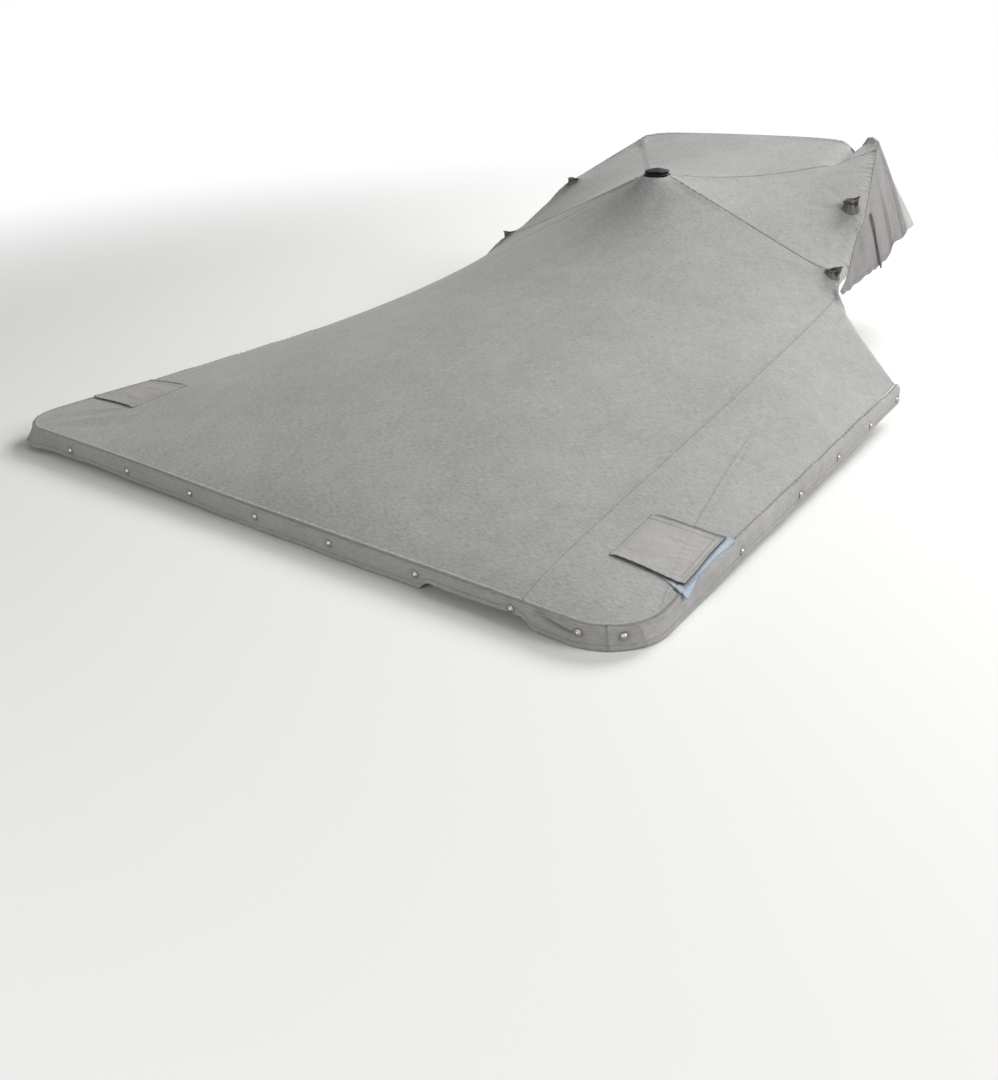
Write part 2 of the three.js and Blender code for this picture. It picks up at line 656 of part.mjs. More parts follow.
// ---- press studs ----------------------------------------------------------------------------------
function makeStuds() {
  const onSide = (y) => SIDE_START + y - CORNER_R;
  const places = STERN_STUDS.map((x, i) => ({ name: `stern_stud_${i + 1}`, d: x }));
  CORNER_STUDS.forEach(({ side, s, degrees }) => {
    places.push({ name: `${side}_corner_stud_${-degrees}`, d: s * onCorner(degrees) });
  });
  for (const { side, s } of SIDES) {
    SIDE_STUDS.forEach((y, i) => places.push({ name: `${side}_side_stud_${i + 1}`, d: s * onSide(y) }));
  }
  const dome = [[0, 0], [STUD_R, 0], [STUD_R, 1], [STUD_R * 0.6, STUD_HEIGHT], [0, STUD_HEIGHT]];
  for (const { name, d } of places) {
    const stud = new THREE.LatheGeometry(dome.map(([r, z]) => new THREE.Vector2(r, z)), STUD_SIDES);
    const p = hemPoint(Math.abs(d), d < 0 ? -1 : 1);
    const outward = new THREE.Vector3(p.nx, p.ny, 0);
    stud.applyQuaternion(new THREE.Quaternion().setFromUnitVectors(new THREE.Vector3(0, 1, 0), outward));
    const seat = bandPoint(d, BAND_GAP + BAND_CLOTH + STUD_CLEAR, 0);
    stud.translate(seat.x, seat.y, seat.z);
    add(name, stud, nickel);
  }
}

// ---- loose flaps on the aft corners -------------------------------------------------------------
// Sewn along the inboard edge and lying on the top; the starboard one has a blue patch under it.
function layOnTop(name, outline, s, under, thickness, material) {
  const wall = prism(outline.map((p) => mirror(p, s)));
  add(name, geometryOf(canvasSlab(under + thickness, thickness).intersect(wall)), material);
}

function makeFlaps() {
  layOnTop('starboard_flap_under_patch', PATCH, 1, LAY_GAP, PATCH_CLOTH, bluePatch);
  layOnTop('starboard_flap', FLAPS.starboard, 1, 2 * LAY_GAP + PATCH_CLOTH, CLOTH, canvas);
  layOnTop('port_flap', FLAPS.port, -1, LAY_GAP, CLOTH, canvas);
}

makeTop();
makeVent();
makeBoots();
makeWings();
makeFront();
makeBands();
makeStuds();
makeFlaps();

export default cover;
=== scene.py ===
import math
from collections import namedtuple
from functools import cache, reduce

import bmesh
import bpy
import numpy as np
from bpy.props import FloatProperty, FloatVectorProperty, PointerProperty
from mathutils import Matrix, Vector
from mathutils.geometry import delaunay_2d_cdt


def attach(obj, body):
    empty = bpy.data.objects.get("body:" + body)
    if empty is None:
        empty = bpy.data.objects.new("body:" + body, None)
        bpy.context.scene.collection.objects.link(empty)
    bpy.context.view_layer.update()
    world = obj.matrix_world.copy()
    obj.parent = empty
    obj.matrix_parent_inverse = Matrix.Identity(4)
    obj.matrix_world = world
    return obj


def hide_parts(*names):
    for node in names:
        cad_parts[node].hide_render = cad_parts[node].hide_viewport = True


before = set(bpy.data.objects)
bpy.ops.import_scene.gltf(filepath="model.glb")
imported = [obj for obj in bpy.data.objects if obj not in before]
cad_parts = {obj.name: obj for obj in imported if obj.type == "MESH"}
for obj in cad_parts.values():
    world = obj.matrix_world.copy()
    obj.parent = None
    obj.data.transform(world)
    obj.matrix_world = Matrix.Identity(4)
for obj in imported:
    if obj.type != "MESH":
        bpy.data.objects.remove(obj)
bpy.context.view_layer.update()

bl_info = {
    "name": "Cockpit Cover",
    "version": (1, 0, 0),
    "blender": (4, 5, 0),
    "location": "View3D > Sidebar > Cover",
    "description": "Taut canvas cover for an open cockpit, with its hems, boots and press studs",
    "category": "Add Mesh",
}

# Sizes below are millimetres from the middle of the stern hem, at the height of the studs:
# X to starboard, Y to the bow, Z up. The frame's origin is the pole seat under the vent.
SEAT = np.array([0.0, 1963.0, 601.8])
SIDES = (("starboard", 1.0), ("port", -1.0))

# ---- hem and supports ----
BAND_TOP = 34.0                  # the hem band reaches this far above and below the studs
HEM_X = 1146.0
CORNER_R = 146.0
HEM_LENGTH = 1728.0
SIDE_TAPER = 106.0 / (HEM_LENGTH - CORNER_R)
SHEER = 11.5e-6                  # rise of the hem towards the bow, per mm squared
CORNER_START = HEM_X - CORNER_R
SIDE_START = CORNER_START + CORNER_R * math.pi / 2
HEM_END = SIDE_START + HEM_LENGTH - CORNER_R
VENT = (0.0, 1963.0, 604.0)
VENT_FLAT = 58.0                 # radius of the flat cloth under the vent
VENT_HOLE = 28.0
VENT_COVERS = 50.0               # no stitches are laid within this radius
LIFT = 0.28e-3                   # crown of the cloth, as a fall in slope per mm
ROOF_SEAM = (505.0, 2680.0, 632.0)
ROOF_SAG = 40.0

Leg = namedtuple("Leg", "name x y z foot top height lean")
LEGS = (
    Leg("aft", 683, 1978, 320, 29, 23, 28, 10),
    Leg("forward", 596, 2300, 490, 34, 26, 32, -6),
)
LEG_HOLE = 18.0
FORWARD_EDGE = ((1037, 1728, 68), (857, 1848, 174), (777, 1901, 228))
SHOULDER = {
    "starboard": ((728, 1935, 286), (702, 2060, 312), (664, 2200, 400), (636, 2330, 478)),
    "port": ((728, 1935, 290), (702, 2060, 338), (664, 2200, 422), (636, 2330, 492)),
}
ROOF_CORNER = {"starboard": (494, 2750, 665), "port": (530, 2750, 640)}
ROOF_Y = 2750.0
# The header dips beside the starboard corner, where the cloth stands up on a screen post.
HEADER = (
    (-530, 640), (-400, 656), (0, 664), (320, 661), (390, 635), (421, 609), (433, 641),
    (448, 665), (470, 675), (494, 665),
)
WING_FOOT = (
    (734, 1950, 270), (712, 2060, 262), (694, 2220, 268), (678, 2430, 278),
    (660, 2555, 290), (658, 2588, 324), (654, 2670, 324), (646, 2748, 342),
)
FRONT_FOOT = ((646, 2752, 342), (604, 2930, 340), (440, 3040, 337), (0, 3085, 334))
SIDE_SEAM = ((868, 0), (763, 1350), (729, 1935), (727, 1962))
PAST_BOOT = (753, 1950)
NOTCH = (572.0, 902.0, 23.0, 34.0)         # start, end, rise and slope of the rail notch
CORNER_SEAMS = (-55.0, -27.0)              # degrees round the corner where the band is joined
BAND_JOIN = 864.0                          # a short join in the stern band
HEM_INSET = 12.0                           # where the cloth starts to turn over the edge
EDGE_ROUNDS = (3.5, 12.0)                  # radius of that turn along the stern and along the sides
EDGE_CHANGE = (-42.0, 440.0)               # from these degrees on the corner to this far forward
EDGE_DROP = (13.0, 130.0)                  # how far the stern's edge dips, and over what width
FLARE = (-62.0, 100.0, 26.0)               # degrees round the port corner, width, and how far out
SEWN = (-4.6, -13.3, 4.0)                  # the band's seam below the edge: at the stern, what the
                                           # sides add, and what their forward ends add
BAND_LAP = 2.5                             # the band's upper edge above that seam
BAND_HEM = 12.5                            # the stitched edge of its own hem, above its lower edge
BAND_OFF = 2.4                             # how far the band stands off the cloth it is sewn to
STUD_RING = 8.5                            # where the shadow round a stud starts
STITCH_LINES = (3.0, 9.5)                  # a seam's two rows of stitches, to its left
STITCH_STEP = 6.0                          # the spacing of the points that a row runs through
HEM_STITCH = 16.0                          # the row along the sides, inboard of the edge
STERN_STUDS = (-845, -557, -270, 0, 275, 562, 843)
CORNER_STUDS = ((1.0, -82.0), (1.0, -44.0), (-1.0, -44.0))
SIDE_STUDS = (532, 904, 1187, 1458, 1704)
# A tuck sewn into each aft corner, from the hem forwards, with its width.
TUCK = ((1137, 135, 3), (1083, 308, 18), (1026, 499, 20), (957, 775, 18), (885, 1099, 10))
TUCK_LENGTH = 1040.0
BOOT_PULL = (24.0, 34.0)                   # how high the boots draw the cloth up, and their reach
BOOT_STANDS = {"starboard": 0.85, "port": 0.6}               # as a share of the height in LEGS
FLAPS = {
    "starboard": ((938, 242), (920, 452), (1100, 490), (1131, 246)),
    "port": ((850, 236), (830, 436), (1098, 484), (1122, 272)),
}
FLAP_SIZE = (225.0, 215.0)                 # forwards and outboard
FLAP_HEM = (23.0, 9.0)                     # its hem's two sewn edges, from the free edge
FLAP_LIFT = {"starboard": (1.4, 2.7), "port": (1.2, 1.4)}    # of its free edges, and of all of it
PATCH = ((955, 262), (938, 440), (1120, 504), (1157, 211))

# Soft folds of the cloth, each a ridge or a trough that fades at both ends. A row says where
# the fold starts and ends, its width and its height.
FOLDS = (
    (-1000, 60, -780, 215, 16, 4.2), (-1040, 90, -850, 240, 12, -3.8),
    (-1060, 130, -905, 232, 10, 3.8), (-960, 45, -740, 150, 18, -3.5),
    (1000, 1690, 930, 1560, 22, -2.2), (960, 1700, 860, 1640, 18, 2.0),
    (745, 1880, 760, 1700, 10, 1.6), (722, 1880, 705, 1720, 9, -1.4),
    (760, 1890, 800, 1760, 9, -1.3), (700, 1900, 660, 1780, 12, 1.2),
    (655, 1950, 560, 1840, 14, -1.6), (640, 1960, 500, 1900, 12, 1.3),
    (640, 2010, 540, 2100, 14, -1.6), (655, 2025, 600, 2140, 11, 1.8),
    (560, 2280, 420, 2230, 16, -1.8), (560, 2320, 430, 2400, 14, -1.6),
    (575, 2260, 500, 2120, 14, 1.8), (590, 2250, 560, 2110, 9, -2.0),
    (605, 2250, 595, 2100, 8, 2.0), (622, 2240, 640, 2100, 8, -1.8),
    (424, 2800, 398, 2520, 26, -26.0), (455, 2800, 440, 2600, 13, 7.0),
    (-210, 1930, -568, 1769, 9, 2.4), (-190, 1925, -560, 1752, 14, -2.2),
    (-232, 1922, -500, 1850, 8, -1.6), (470, 2735, 380, 2600, 12, 2.4),
    (480, 2730, 430, 2560, 10, -2.0), (492, 2735, 500, 2560, 9, 2.0),
    (455, 2738, 330, 2660, 10, -1.8), (40, 1900, 150, 1700, 26, -1.6),
    (-40, 1900, -120, 1700, 24, -1.5),
)
# Narrow pressed lines and small marks left in the cloth.
MARKS = (
    (458, 155, 530, 155, 2.2, -0.6), (440, 56, 517, 52, 2.2, -0.6), (34, 33, 44, 82, 2.0, -0.5),
    (67, 185, 66, 224, 2.0, -0.5), (-414, 129, -411, 164, 2.2, -0.5),
    (-402, 129, -399, 164, 2.2, -0.5), (836, 292, 866, 286, 2.2, -0.8),
    (62, 1985, 120, 2100, 2.4, -0.5),
)


# ---- sizes and colours a user would change ----
def linear(code):
    """An sRGB hex colour as linear values, with alpha."""
    parts = [int(code[i : i + 2], 16) / 255 for i in (0, 2, 4)]
    return [c / 12.92 if c <= 0.04045 else ((c + 0.055) / 1.055) ** 2.4 for c in parts] + [1.0]


def length(name, text, value):
    return FloatProperty(name=name, description=text, default=value, min=0.0, subtype="DISTANCE")


def colour(name, text, code):
    return FloatVectorProperty(
        name=name, description=text, default=linear(code), size=4, min=0, max=1, subtype="COLOR"
    )


class CoverSizes(bpy.types.PropertyGroup):
    cloth: length("Cloth", "Thickness of the canvas", 0.0012)
    spacing: length("Mesh spacing", "Distance between the points of the cloth", 0.011)
    stitch_pitch: length("Stitch pitch", "Distance from one stitch to the next", 0.0055)
    stitch_length: length("Stitch length", "Length of thread that shows", 0.0038)
    thread: length("Thread", "Thickness of the sewing thread", 0.0012)
    stud_radius: length("Stud radius", "Radius of a press stud's cap", 0.0080)
    pucker: length("Pucker", "Height of the puckers along the seams", 0.0005)
    slub_length: length("Slub length", "Length of the thick places in the yarn", 0.018)


class CoverColours(bpy.types.PropertyGroup):
    canvas: colour("Canvas", "Weathered grey canvas of the top", "a1a19f")
    wing: colour("Wing canvas", "Canvas of the wings", "7e7b7b")
    flap: colour("Flap canvas", "Smoother canvas of the flaps", "a7a5a2")
    band: colour("Band canvas", "Darker canvas of the stern band", "9a9997")
    side_band: colour("Side band canvas", "Canvas of the side bands", "a09e9d")
    boot: colour("Boot canvas", "Canvas of the frame boots", "77726d")
    webbing: colour("Webbing", "Dark webbing", "565350")
    patch: colour("Patch", "Pale blue cloth under the flap", "a7b4c0")
    thread: colour("Thread", "Sewing thread", "cbc9c4")
    plastic: colour("Vent plastic", "Black moulded plastic", "0d0e0f")
    nickel: colour("Stud metal", "Nickel plate", "aeaca8")
    floor: colour("Floor", "Plain pale floor", "f2f2f0")


# ---- lines and measures ----
def hem(distance):
    """Place on the hem in plan and its outward direction, for signed distances round it."""
    distance = np.asarray(distance, float)
    side = np.where(distance < 0, -1.0, 1.0)
    run = np.abs(distance)
    past = np.maximum(run - SIDE_START, 0)
    a = np.clip((run - CORNER_START) / CORNER_R, 0, math.pi / 2) - math.pi / 2
    x = np.minimum(run, CORNER_START) + CORNER_R * np.cos(a) - SIDE_TAPER * past
    y = CORNER_R * (1 + np.sin(a)) + past
    nx = np.where(past > 0, 1 / math.hypot(1, SIDE_TAPER), np.cos(a))
    ny = np.where(past > 0, SIDE_TAPER / math.hypot(1, SIDE_TAPER), np.sin(a))
    return x * side, y, nx * side, ny


def band_line():
    x, y, _, _ = hem(np.linspace(0, HEM_END, 240))
    return np.stack([x, y], -1)


def sheer(y):
    return SHEER * np.maximum(y, 0) ** 2


def round_corner(distance):
    """0 along the stern, 1 along the sides, changing from the corner forwards."""
    start, end = on_corner(EDGE_CHANGE[0]), on_side(EDGE_CHANGE[1])
    return ease((np.abs(np.asarray(distance, float)) - start) / (end - start))


def port_end(distance):
    """0 along the stern from starboard, rising to 1 at its port end."""
    return ease((100 - np.asarray(distance, float)) / 900)


def edge_round(distance):
    stern, side = EDGE_ROUNDS
    return stern + (side - stern) * round_corner(distance)


def edge_drop(distance, inboard):
    """How far the supported cloth dips towards the stern's edge."""
    depth, width = EDGE_DROP
    depth = depth * (1 - round_corner(distance)) * (1 - port_end(distance))
    return depth * np.clip(1 - inboard / width, 0, 1) ** 2


def face_start(distance):
    """Height, above the studs, where the turned cloth hangs straight."""
    return BAND_TOP - edge_round(distance) - edge_drop(distance, 0)


def edge_place(distance, down, lift):
    """A place on the turned edge of the hem: down is measured along the cloth from where it
    starts to hang straight, and lift stands off it."""
    distance, down = np.broadcast_arrays(np.asarray(distance, float), np.asarray(down, float))
    x, y, nx, ny = hem(distance)
    r = edge_round(distance)
    run = down + r * math.pi / 2
    turn = np.clip(run / r, 0, math.pi / 2)
    out = r * (np.sin(turn) - 1) + np.minimum(run, 0)
    z = BAND_TOP - edge_drop(distance, -out) + r * (np.cos(turn) - 1) - np.maximum(down, 0)
    z = z + lift * np.cos(turn)
    inboard = np.minimum(out, -HEM_INSET)
    at, width, far = FLARE
    out = out + lift * np.sin(turn) + far * bump(distance + on_corner(at), width) * ease(down / 60)
    above = taut()(x + nx * inboard, y + ny * inboard) - BAND_TOP - sheer(y)
    z = z + above * (1 - ease(turn / (math.pi / 2)))
    return np.stack([x + nx * out, y + ny * out, z + sheer(y)], -1)


def sewn_at(distance):
    """Where the band is sewn on, down from where the cloth starts to hang straight."""
    at_side = round_corner(distance)
    past = ease((np.abs(np.asarray(distance, float)) - HEM_END + 400) / 350)
    stern, side, forward = SEWN
    return stern + side * at_side + forward * past


def face_down(distance, z):
    """How far down the hanging cloth a height above or below the studs lies."""
    return face_start(distance) - z


def on_corner(degrees):
    """Distance round the hem to a place on the corner: -90 degrees at the stern."""
    return CORNER_START + CORNER_R * math.radians(90 + degrees)


def on_side(y):
    return SIDE_START + y - CORNER_R


def spaced(points, step):
    """Points evenly along a line, ends kept."""
    points = np.asarray(points, float)
    run = np.concatenate([[0], np.cumsum(np.linalg.norm(np.diff(points, axis=0), axis=1))])
    at = np.linspace(0, run[-1], max(int(round(run[-1] / step)), 1) + 1)
    return np.stack([np.interp(at, run, points[:, k]) for k in range(points.shape[1])], -1)


def curve(points, step):
    """A smooth line through points, evenly divided."""
    p = np.asarray(points, float)
    p = np.concatenate([[2 * p[0] - p[1]], p, [2 * p[-1] - p[-2]]])
    t = np.linspace(0, 1, 24, endpoint=False)[:, None]
    parts = []
    for a, b, c, d in zip(p[:-3], p[1:-2], p[2:-1], p[3:]):
        bend, twist = 2 * a - 5 * b + 4 * c - d, 3 * b - a - 3 * c + d
        parts.append(0.5 * (2 * b + (c - a) * t + bend * t**2 + twist * t**3))
    return spaced(np.concatenate(parts + [p[-2:-1]]), step)


def mirrored(points, s):
    return [(p[0] * s, *p[1:]) for p in points]


def hem_steps(step):
    return np.linspace(0, HEM_END, int(HEM_END / step))


def top_outline(step, inset=0.0):
    """Outline of the top with its supported heights, once round from the stern's middle."""
    halves = []
    for side, s in SIDES:
        x, y, nx, ny = hem(s * hem_steps(step))
        edge = np.stack([x - nx * inset, y - ny * inset, BAND_TOP + sheer(y)], -1)
        front = curve(mirrored([tuple(edge[-1] * (s, 1, 1)), *FORWARD_EDGE[1:]], s), step)
        rise = curve(mirrored([FORWARD_EDGE[-1], *SHOULDER[side], ROOF_CORNER[side]], s), step)
        halves.append(np.concatenate([edge, front[1:], rise[1:]]))
    header = curve([(x, ROOF_Y, z) for x, z in HEADER], step)
    return np.concatenate([halves[0], header[::-1][1:-1], halves[1][::-1][:-1]])


def inside(x, y, outline):
    """Which places lie inside an outline in plan."""
    within = np.zeros(np.shape(x), bool)
    for a, b in zip(outline, np.roll(outline, 1, axis=0)):
        if a[1] != b[1]:
            cross = (b[0] - a[0]) * (y - a[1]) / (b[1] - a[1]) + a[0]
            within ^= ((a[1] > y) != (b[1] > y)) & (x < cross)
    return within


def measure(x, y, line):
    """Distance in plan to a line, length along it to the nearest place, and which side: 1 to
    its left, -1 to its right."""
    line = np.asarray(line, float)[:, :2]
    best = np.full(np.shape(x), 1e9)
    along = np.zeros(np.shape(x))
    left = np.ones(np.shape(x))
    run = 0.0
    for a, b in zip(line[:-1], line[1:]):
        ab = b - a
        size = math.hypot(*ab)
        if size == 0:
            continue
        t = np.clip(((x - a[0]) * ab[0] + (y - a[1]) * ab[1]) / size**2, 0, 1)
        dx = x - a[0] - ab[0] * t
        dy = y - a[1] - ab[1] * t
        d = np.hypot(dx, dy)
        near = d < best
        best = np.where(near, d, best)
        along = np.where(near, run + t * size, along)
        left = np.where(near, np.where(ab[0] * dy - ab[1] * dx >= 0, 1.0, -1.0), left)
        run += size
    return best, along, left


def gap_to(x, y, line):
    return measure(x, y, line)[0]


def leg_gap(leg, x, y):
    """Distance in plan to a frame leg, on either side."""
    return np.hypot(np.abs(x) - leg.x, y - leg.y)


def rightward(line):
    """Unit directions in plan to the right of a line."""
    ahead = np.gradient(line[:, :2], axis=0)
    return np.stack([ahead[:, 1], -ahead[:, 0]], -1) / np.linalg.norm(ahead, axis=1)[:, None]


def bump(d, width):
    return np.exp(-((d / width) ** 2))


def ease(t):
    t = np.clip(t, 0, 1)
    return t * t * (3 - 2 * t)


def darkest(*shades):
    return reduce(np.maximum, shades)


def fold_relief(x, y, folds):
    """Sum of listed folds, each fading towards its two ends."""
    total = np.zeros(np.shape(x))
    for x0, y0, x1, y1, width, height in folds:
        d, along, _ = measure(x, y, ((x0, y0), (x1, y1)))
        t = along / math.hypot(x1 - x0, y1 - y0)
        fade = np.clip(np.sin(math.pi * np.clip(t, 0.03, 0.97)), 0, 1) ** 0.7
        total += height * fade * bump(d, width)
    return total


# ---- the taut surface ----
def ridge_line(end, sag):
    """A seam from the flat round the vent to a place that holds it, with its sag."""
    start = VENT_FLAT / math.hypot(end[0] - VENT[0], end[1] - VENT[1])
    t = np.linspace(0, 1, 90)
    plan = start + (1 - start) * t
    x = VENT[0] + (end[0] - VENT[0]) * plan
    y = VENT[1] + (end[1] - VENT[1]) * plan
    return np.stack([x, y, VENT[2] + (end[2] - VENT[2]) * t - 4 * sag * t * (1 - t)], -1)


class TautCloth:
    """Heights of a membrane held by the hem, shoulders, header, vent and ridges, on a grid."""

    X0, Y0, X1, Y1 = -1300.0, -100.0, 1300.0, 2900.0
    LEVELS = ((50.0, 260), (25.0, 260), (12.5, 300))     # grid step in mm, and sweeps
    OVERSHOOT = 1.75                                     # speeds the sweeps up

    def __init__(self):
        outline = top_outline(10)
        lines = [outline]
        for _, s in SIDES:
            lines.append(ridge_line((LEGS[0].x * s, LEGS[0].y, LEGS[0].z), 0))
            lines.append(ridge_line((ROOF_SEAM[0] * s, *ROOF_SEAM[1:]), ROOF_SAG))
        pins = np.concatenate(lines)
        self.z = None
        for self.step, sweeps in self.LEVELS:
            self.relax(outline, pins, sweeps)

    def relax(self, outline, pins, sweeps):
        """Settles the heights at one grid step: each is drawn to the mean of its neighbours,
        and the surface is pulled onto the pins."""
        xs = np.arange(self.X0, self.X1 + 1, self.step)
        ys = np.arange(self.Y0, self.Y1 + 1, self.step)
        x, y = np.meshgrid(xs, ys, indexing="ij")
        coarse = outline[::3]
        far = np.full(x.shape, 1e9)
        nearest = np.zeros(x.shape)
        for p in coarse:
            d = (x - p[0]) ** 2 + (y - p[1]) ** 2
            nearest = np.where(d < far, p[2], nearest)
            far = np.minimum(far, d)
        within = inside(x, y, coarse)
        if self.z is None:
            z = nearest.copy()
        else:
            z = np.zeros(x.shape)
            z[::2, ::2] = self.z
            z[1::2, ::2] = (z[:-1:2, ::2] + z[2::2, ::2]) / 2
            z[:, 1::2] = (z[:, :-1:2] + z[:, 2::2]) / 2
        flat = np.hypot(x - VENT[0], y - VENT[1]) < VENT_FLAT
        held = flat | (~within & (np.sqrt(far) > 2 * self.step))
        z[held] = np.where(flat, VENT[2], nearest)[held]
        lift = np.where(within, LIFT * self.step**2 / 4, 0.0)
        checker = (np.add.outer(np.arange(len(xs)), np.arange(len(ys))) % 2).astype(bool)
        free = [~held[1:-1, 1:-1] & (checker[1:-1, 1:-1] == odd) for odd in (False, True)]
        u = (pins[:, 0] - self.X0) / self.step
        v = (pins[:, 1] - self.Y0) / self.step
        i, j = u.astype(int), v.astype(int)
        fu, fv = u - i, v - j
        n = len(ys)
        corners = [i * n + j, (i + 1) * n + j, i * n + j + 1, (i + 1) * n + j + 1]
        weights = [(1 - fu) * (1 - fv), fu * (1 - fv), (1 - fu) * fv, fu * fv]
        index = np.concatenate(corners)
        weight = np.concatenate(weights)
        share = np.bincount(index, weight, z.size)
        share[share < 1e-9] = 1.0
        share = np.maximum(share, 0.25)
        for _ in range(sweeps):
            for mask in free:
                around = z[:-2, 1:-1] + z[2:, 1:-1] + z[1:-1, :-2] + z[1:-1, 2:]
                change = self.OVERSHOOT * (around / 4 + lift[1:-1, 1:-1] - z[1:-1, 1:-1])
                z[1:-1, 1:-1] += np.where(mask, change, 0)
            for _ in range(2):
                short = pins[:, 2] - sum(w * z.ravel()[c] for c, w in zip(corners, weights))
                pull = np.bincount(index, weight * np.tile(short, 4), z.size) / share
                z += pull.reshape(z.shape)
        self.z = z

    def __call__(self, x, y):
        """Smooth heights between the grid's points."""
        u = np.clip((np.asarray(x, float) - self.X0) / self.step, 1, self.z.shape[0] - 3.001)
        v = np.clip((np.asarray(y, float) - self.Y0) / self.step, 1, self.z.shape[1] - 3.001)
        i, j = u.astype(int), v.astype(int)
        total = 0.0
        for a, wa in zip((-1, 0, 1, 2), cubic(u - i)):
            for b, wb in zip((-1, 0, 1, 2), cubic(v - j)):
                total = total + wa * wb * self.z[i + a, j + b]
        return total


def cubic(t):
    """Weights of four neighbours for a smooth curve through the middle two."""
    return (
        (-t + 2 * t**2 - t**3) / 2,
        (2 - 5 * t**2 + 3 * t**3) / 2,
        (t + 4 * t**2 - 3 * t**3) / 2,
        (t**3 - t**2) / 2,
    )


@cache
def taut():
    return TautCloth()


# ---- seams of the top ----
def beyond(a, b, more):
    t = 1 + more / math.hypot(b[0] - a[0], b[1] - a[1])
    return (a[0] + (b[0] - a[0]) * t, a[1] + (b[1] - a[1]) * t)


# How dark the painted shadow along each kind of seam is.
SEAM_PAINTED_SHADOW = {"side": 0.45, "ridge": 0.95, "boot": 0.5, "roof": 0.8}


def seam_lines():
    """Every seam of the top in plan, from end to end, by name."""
    lines = {"side": [beyond(SIDE_SEAM[1], SIDE_SEAM[0], 30), *SIDE_SEAM[1:]]}
    for side, s in SIDES:
        boot = (LEGS[0].x * s, LEGS[0].y)
        lines[side + "_ridge"] = [VENT[:2], boot]
        lines[side + "_past_boot"] = [boot, beyond(boot, (PAST_BOOT[0] * s, PAST_BOOT[1]), 30)]
        lines[side + "_roof"] = [VENT[:2], beyond(VENT, (ROOF_SEAM[0] * s, ROOF_SEAM[1]), 120)]
    return lines


def tuck_edges(s):
    """The two stitched edges of a corner tuck in plan."""
    line = curve(TUCK, 8)
    half = line[:, 2:] / 2
    return [(line[:, :2] + rightward(line) * half * k) * (s, 1) for k in (-1, 1)]


def top_height(x, y):
    """Height of the sewn cloth: the taut surface, drawn up round the boots, with its seams,
    tucks, folds and marks."""
    z = taut()(x, y)
    height, reach = BOOT_PULL
    for leg in LEGS:
        z = z + height * np.exp(-leg_gap(leg, x, y) / reach)
    pucker = cover().pucker * 1000
    for line in seam_lines().values():
        d, along, left = measure(x, y, line)
        wave = np.sin(along / 3.4 + 1.7 * np.sin(along / 41)) * (0.6 + 0.4 * np.sin(along / 57))
        z = z + pucker * wave * bump(d, 11) + 0.7 * ease((13 - d) / 5) * (left > 0)
        z = z - 0.4 * bump(d, 1.6)
    for _, s in SIDES:
        left_edge, right_edge = tuck_edges(s)
        d0, along, _ = measure(x, y, left_edge)
        d1 = gap_to(x, y, right_edge)
        width = np.hypot(*(left_edge - right_edge).T)
        gap = np.interp(along, np.linspace(0, TUCK_LENGTH, len(width)), width)
        fade = ease((TUCK_LENGTH - along) / 240)
        between = ease((gap + 3 - d0 - d1) / 3)
        z = z + fade * (0.8 * between - 0.3 * (bump(d0, 1.6) + bump(d1, 1.6)))
        z = z + fade * pucker * 0.8 * np.sin(along / 3.7) * bump(np.minimum(d0, d1), 9)
    z = z + fold_relief(x, y, FOLDS) + fold_relief(x, y, MARKS) + wing_gathers(x, y)
    inboard, along, _ = measure(np.abs(x), y, band_line())
    return z - edge_drop(np.where(x < 0, -along, along), inboard)


def wing_gathers(x, y):
    """Fine gathers where the roof is drawn in to its forward corners and between the boots."""
    total = np.zeros(np.shape(x))
    for side, s in SIDES:
        d, along, _ = measure(x, y, mirrored([*SHOULDER[side], ROOF_CORNER[side]], s))
        ripple = np.sin(along / 3.9 + 1.4 * np.sin(along / 23))
        near_corner = ease((y - 2400) / 150)
        total += ripple * (2.8 * near_corner * bump(d, 40) + 0.9 * (1 - near_corner) * bump(d, 26))
    return total


# ---- meshes ----
def cover():
    return bpy.context.scene.cover_sizes


def metres(points):
    return (np.asarray(points, float) - SEAT) / 1000


def add_object(name, data):
    """A new object in the scene, at the origin."""
    obj = bpy.data.objects.new(name, data)
    bpy.context.scene.collection.objects.link(obj)
    return obj


def make_object(name, points, faces, material, uv=None, edges=(), **attributes):
    """A mesh object from points in millimetres. Its cloth UVs are in metres, and the rest are
    point attributes."""
    mesh = bpy.data.meshes.new(name)
    mesh.from_pydata(metres(points).tolist(), list(edges), [list(map(int, f)) for f in faces])
    if uv is not None:
        layer = mesh.uv_layers.new(name="cloth")
        corner = np.empty(len(mesh.loops), np.int32)
        mesh.loops.foreach_get("vertex_index", corner)
        layer.data.foreach_set("uv", np.asarray(uv, np.float32)[corner].ravel() / 1000)
    for key, values in attributes.items():
        layer = mesh.attributes.new(key, "FLOAT", "POINT")
        layer.data.foreach_set("value", np.asarray(values, np.float32).ravel())
    mesh.materials.append(material)
    mesh.polygons.foreach_set("use_smooth", np.ones(len(mesh.polygons), bool))
    mesh.update()
    return add_object(name, mesh)


def grid_faces(rows, columns, closed=False):
    """Quads of a grid of points stored row by row; closed joins the last row to the first."""
    last = rows if closed else rows - 1
    i, j = np.meshgrid(np.arange(last), np.arange(columns - 1), indexing="ij")
    a = i * columns + j
    b = (i + 1) % rows * columns + j
    return np.stack([a, b, b + 1, a + 1], -1).reshape(-1, 4)


def make_grid(name, points, material, uv, closed=False, flip=False, **attributes):
    """A sheet from a grid of points, rows by columns."""
    rows, columns = points.shape[:2]
    faces = grid_faces(rows, columns, closed)
    if flip:
        faces = faces[:, ::-1]
    points, uv = points.reshape(-1, 3), uv.reshape(-1, 2)
    return make_object(name, points, faces, material, uv, **attributes)


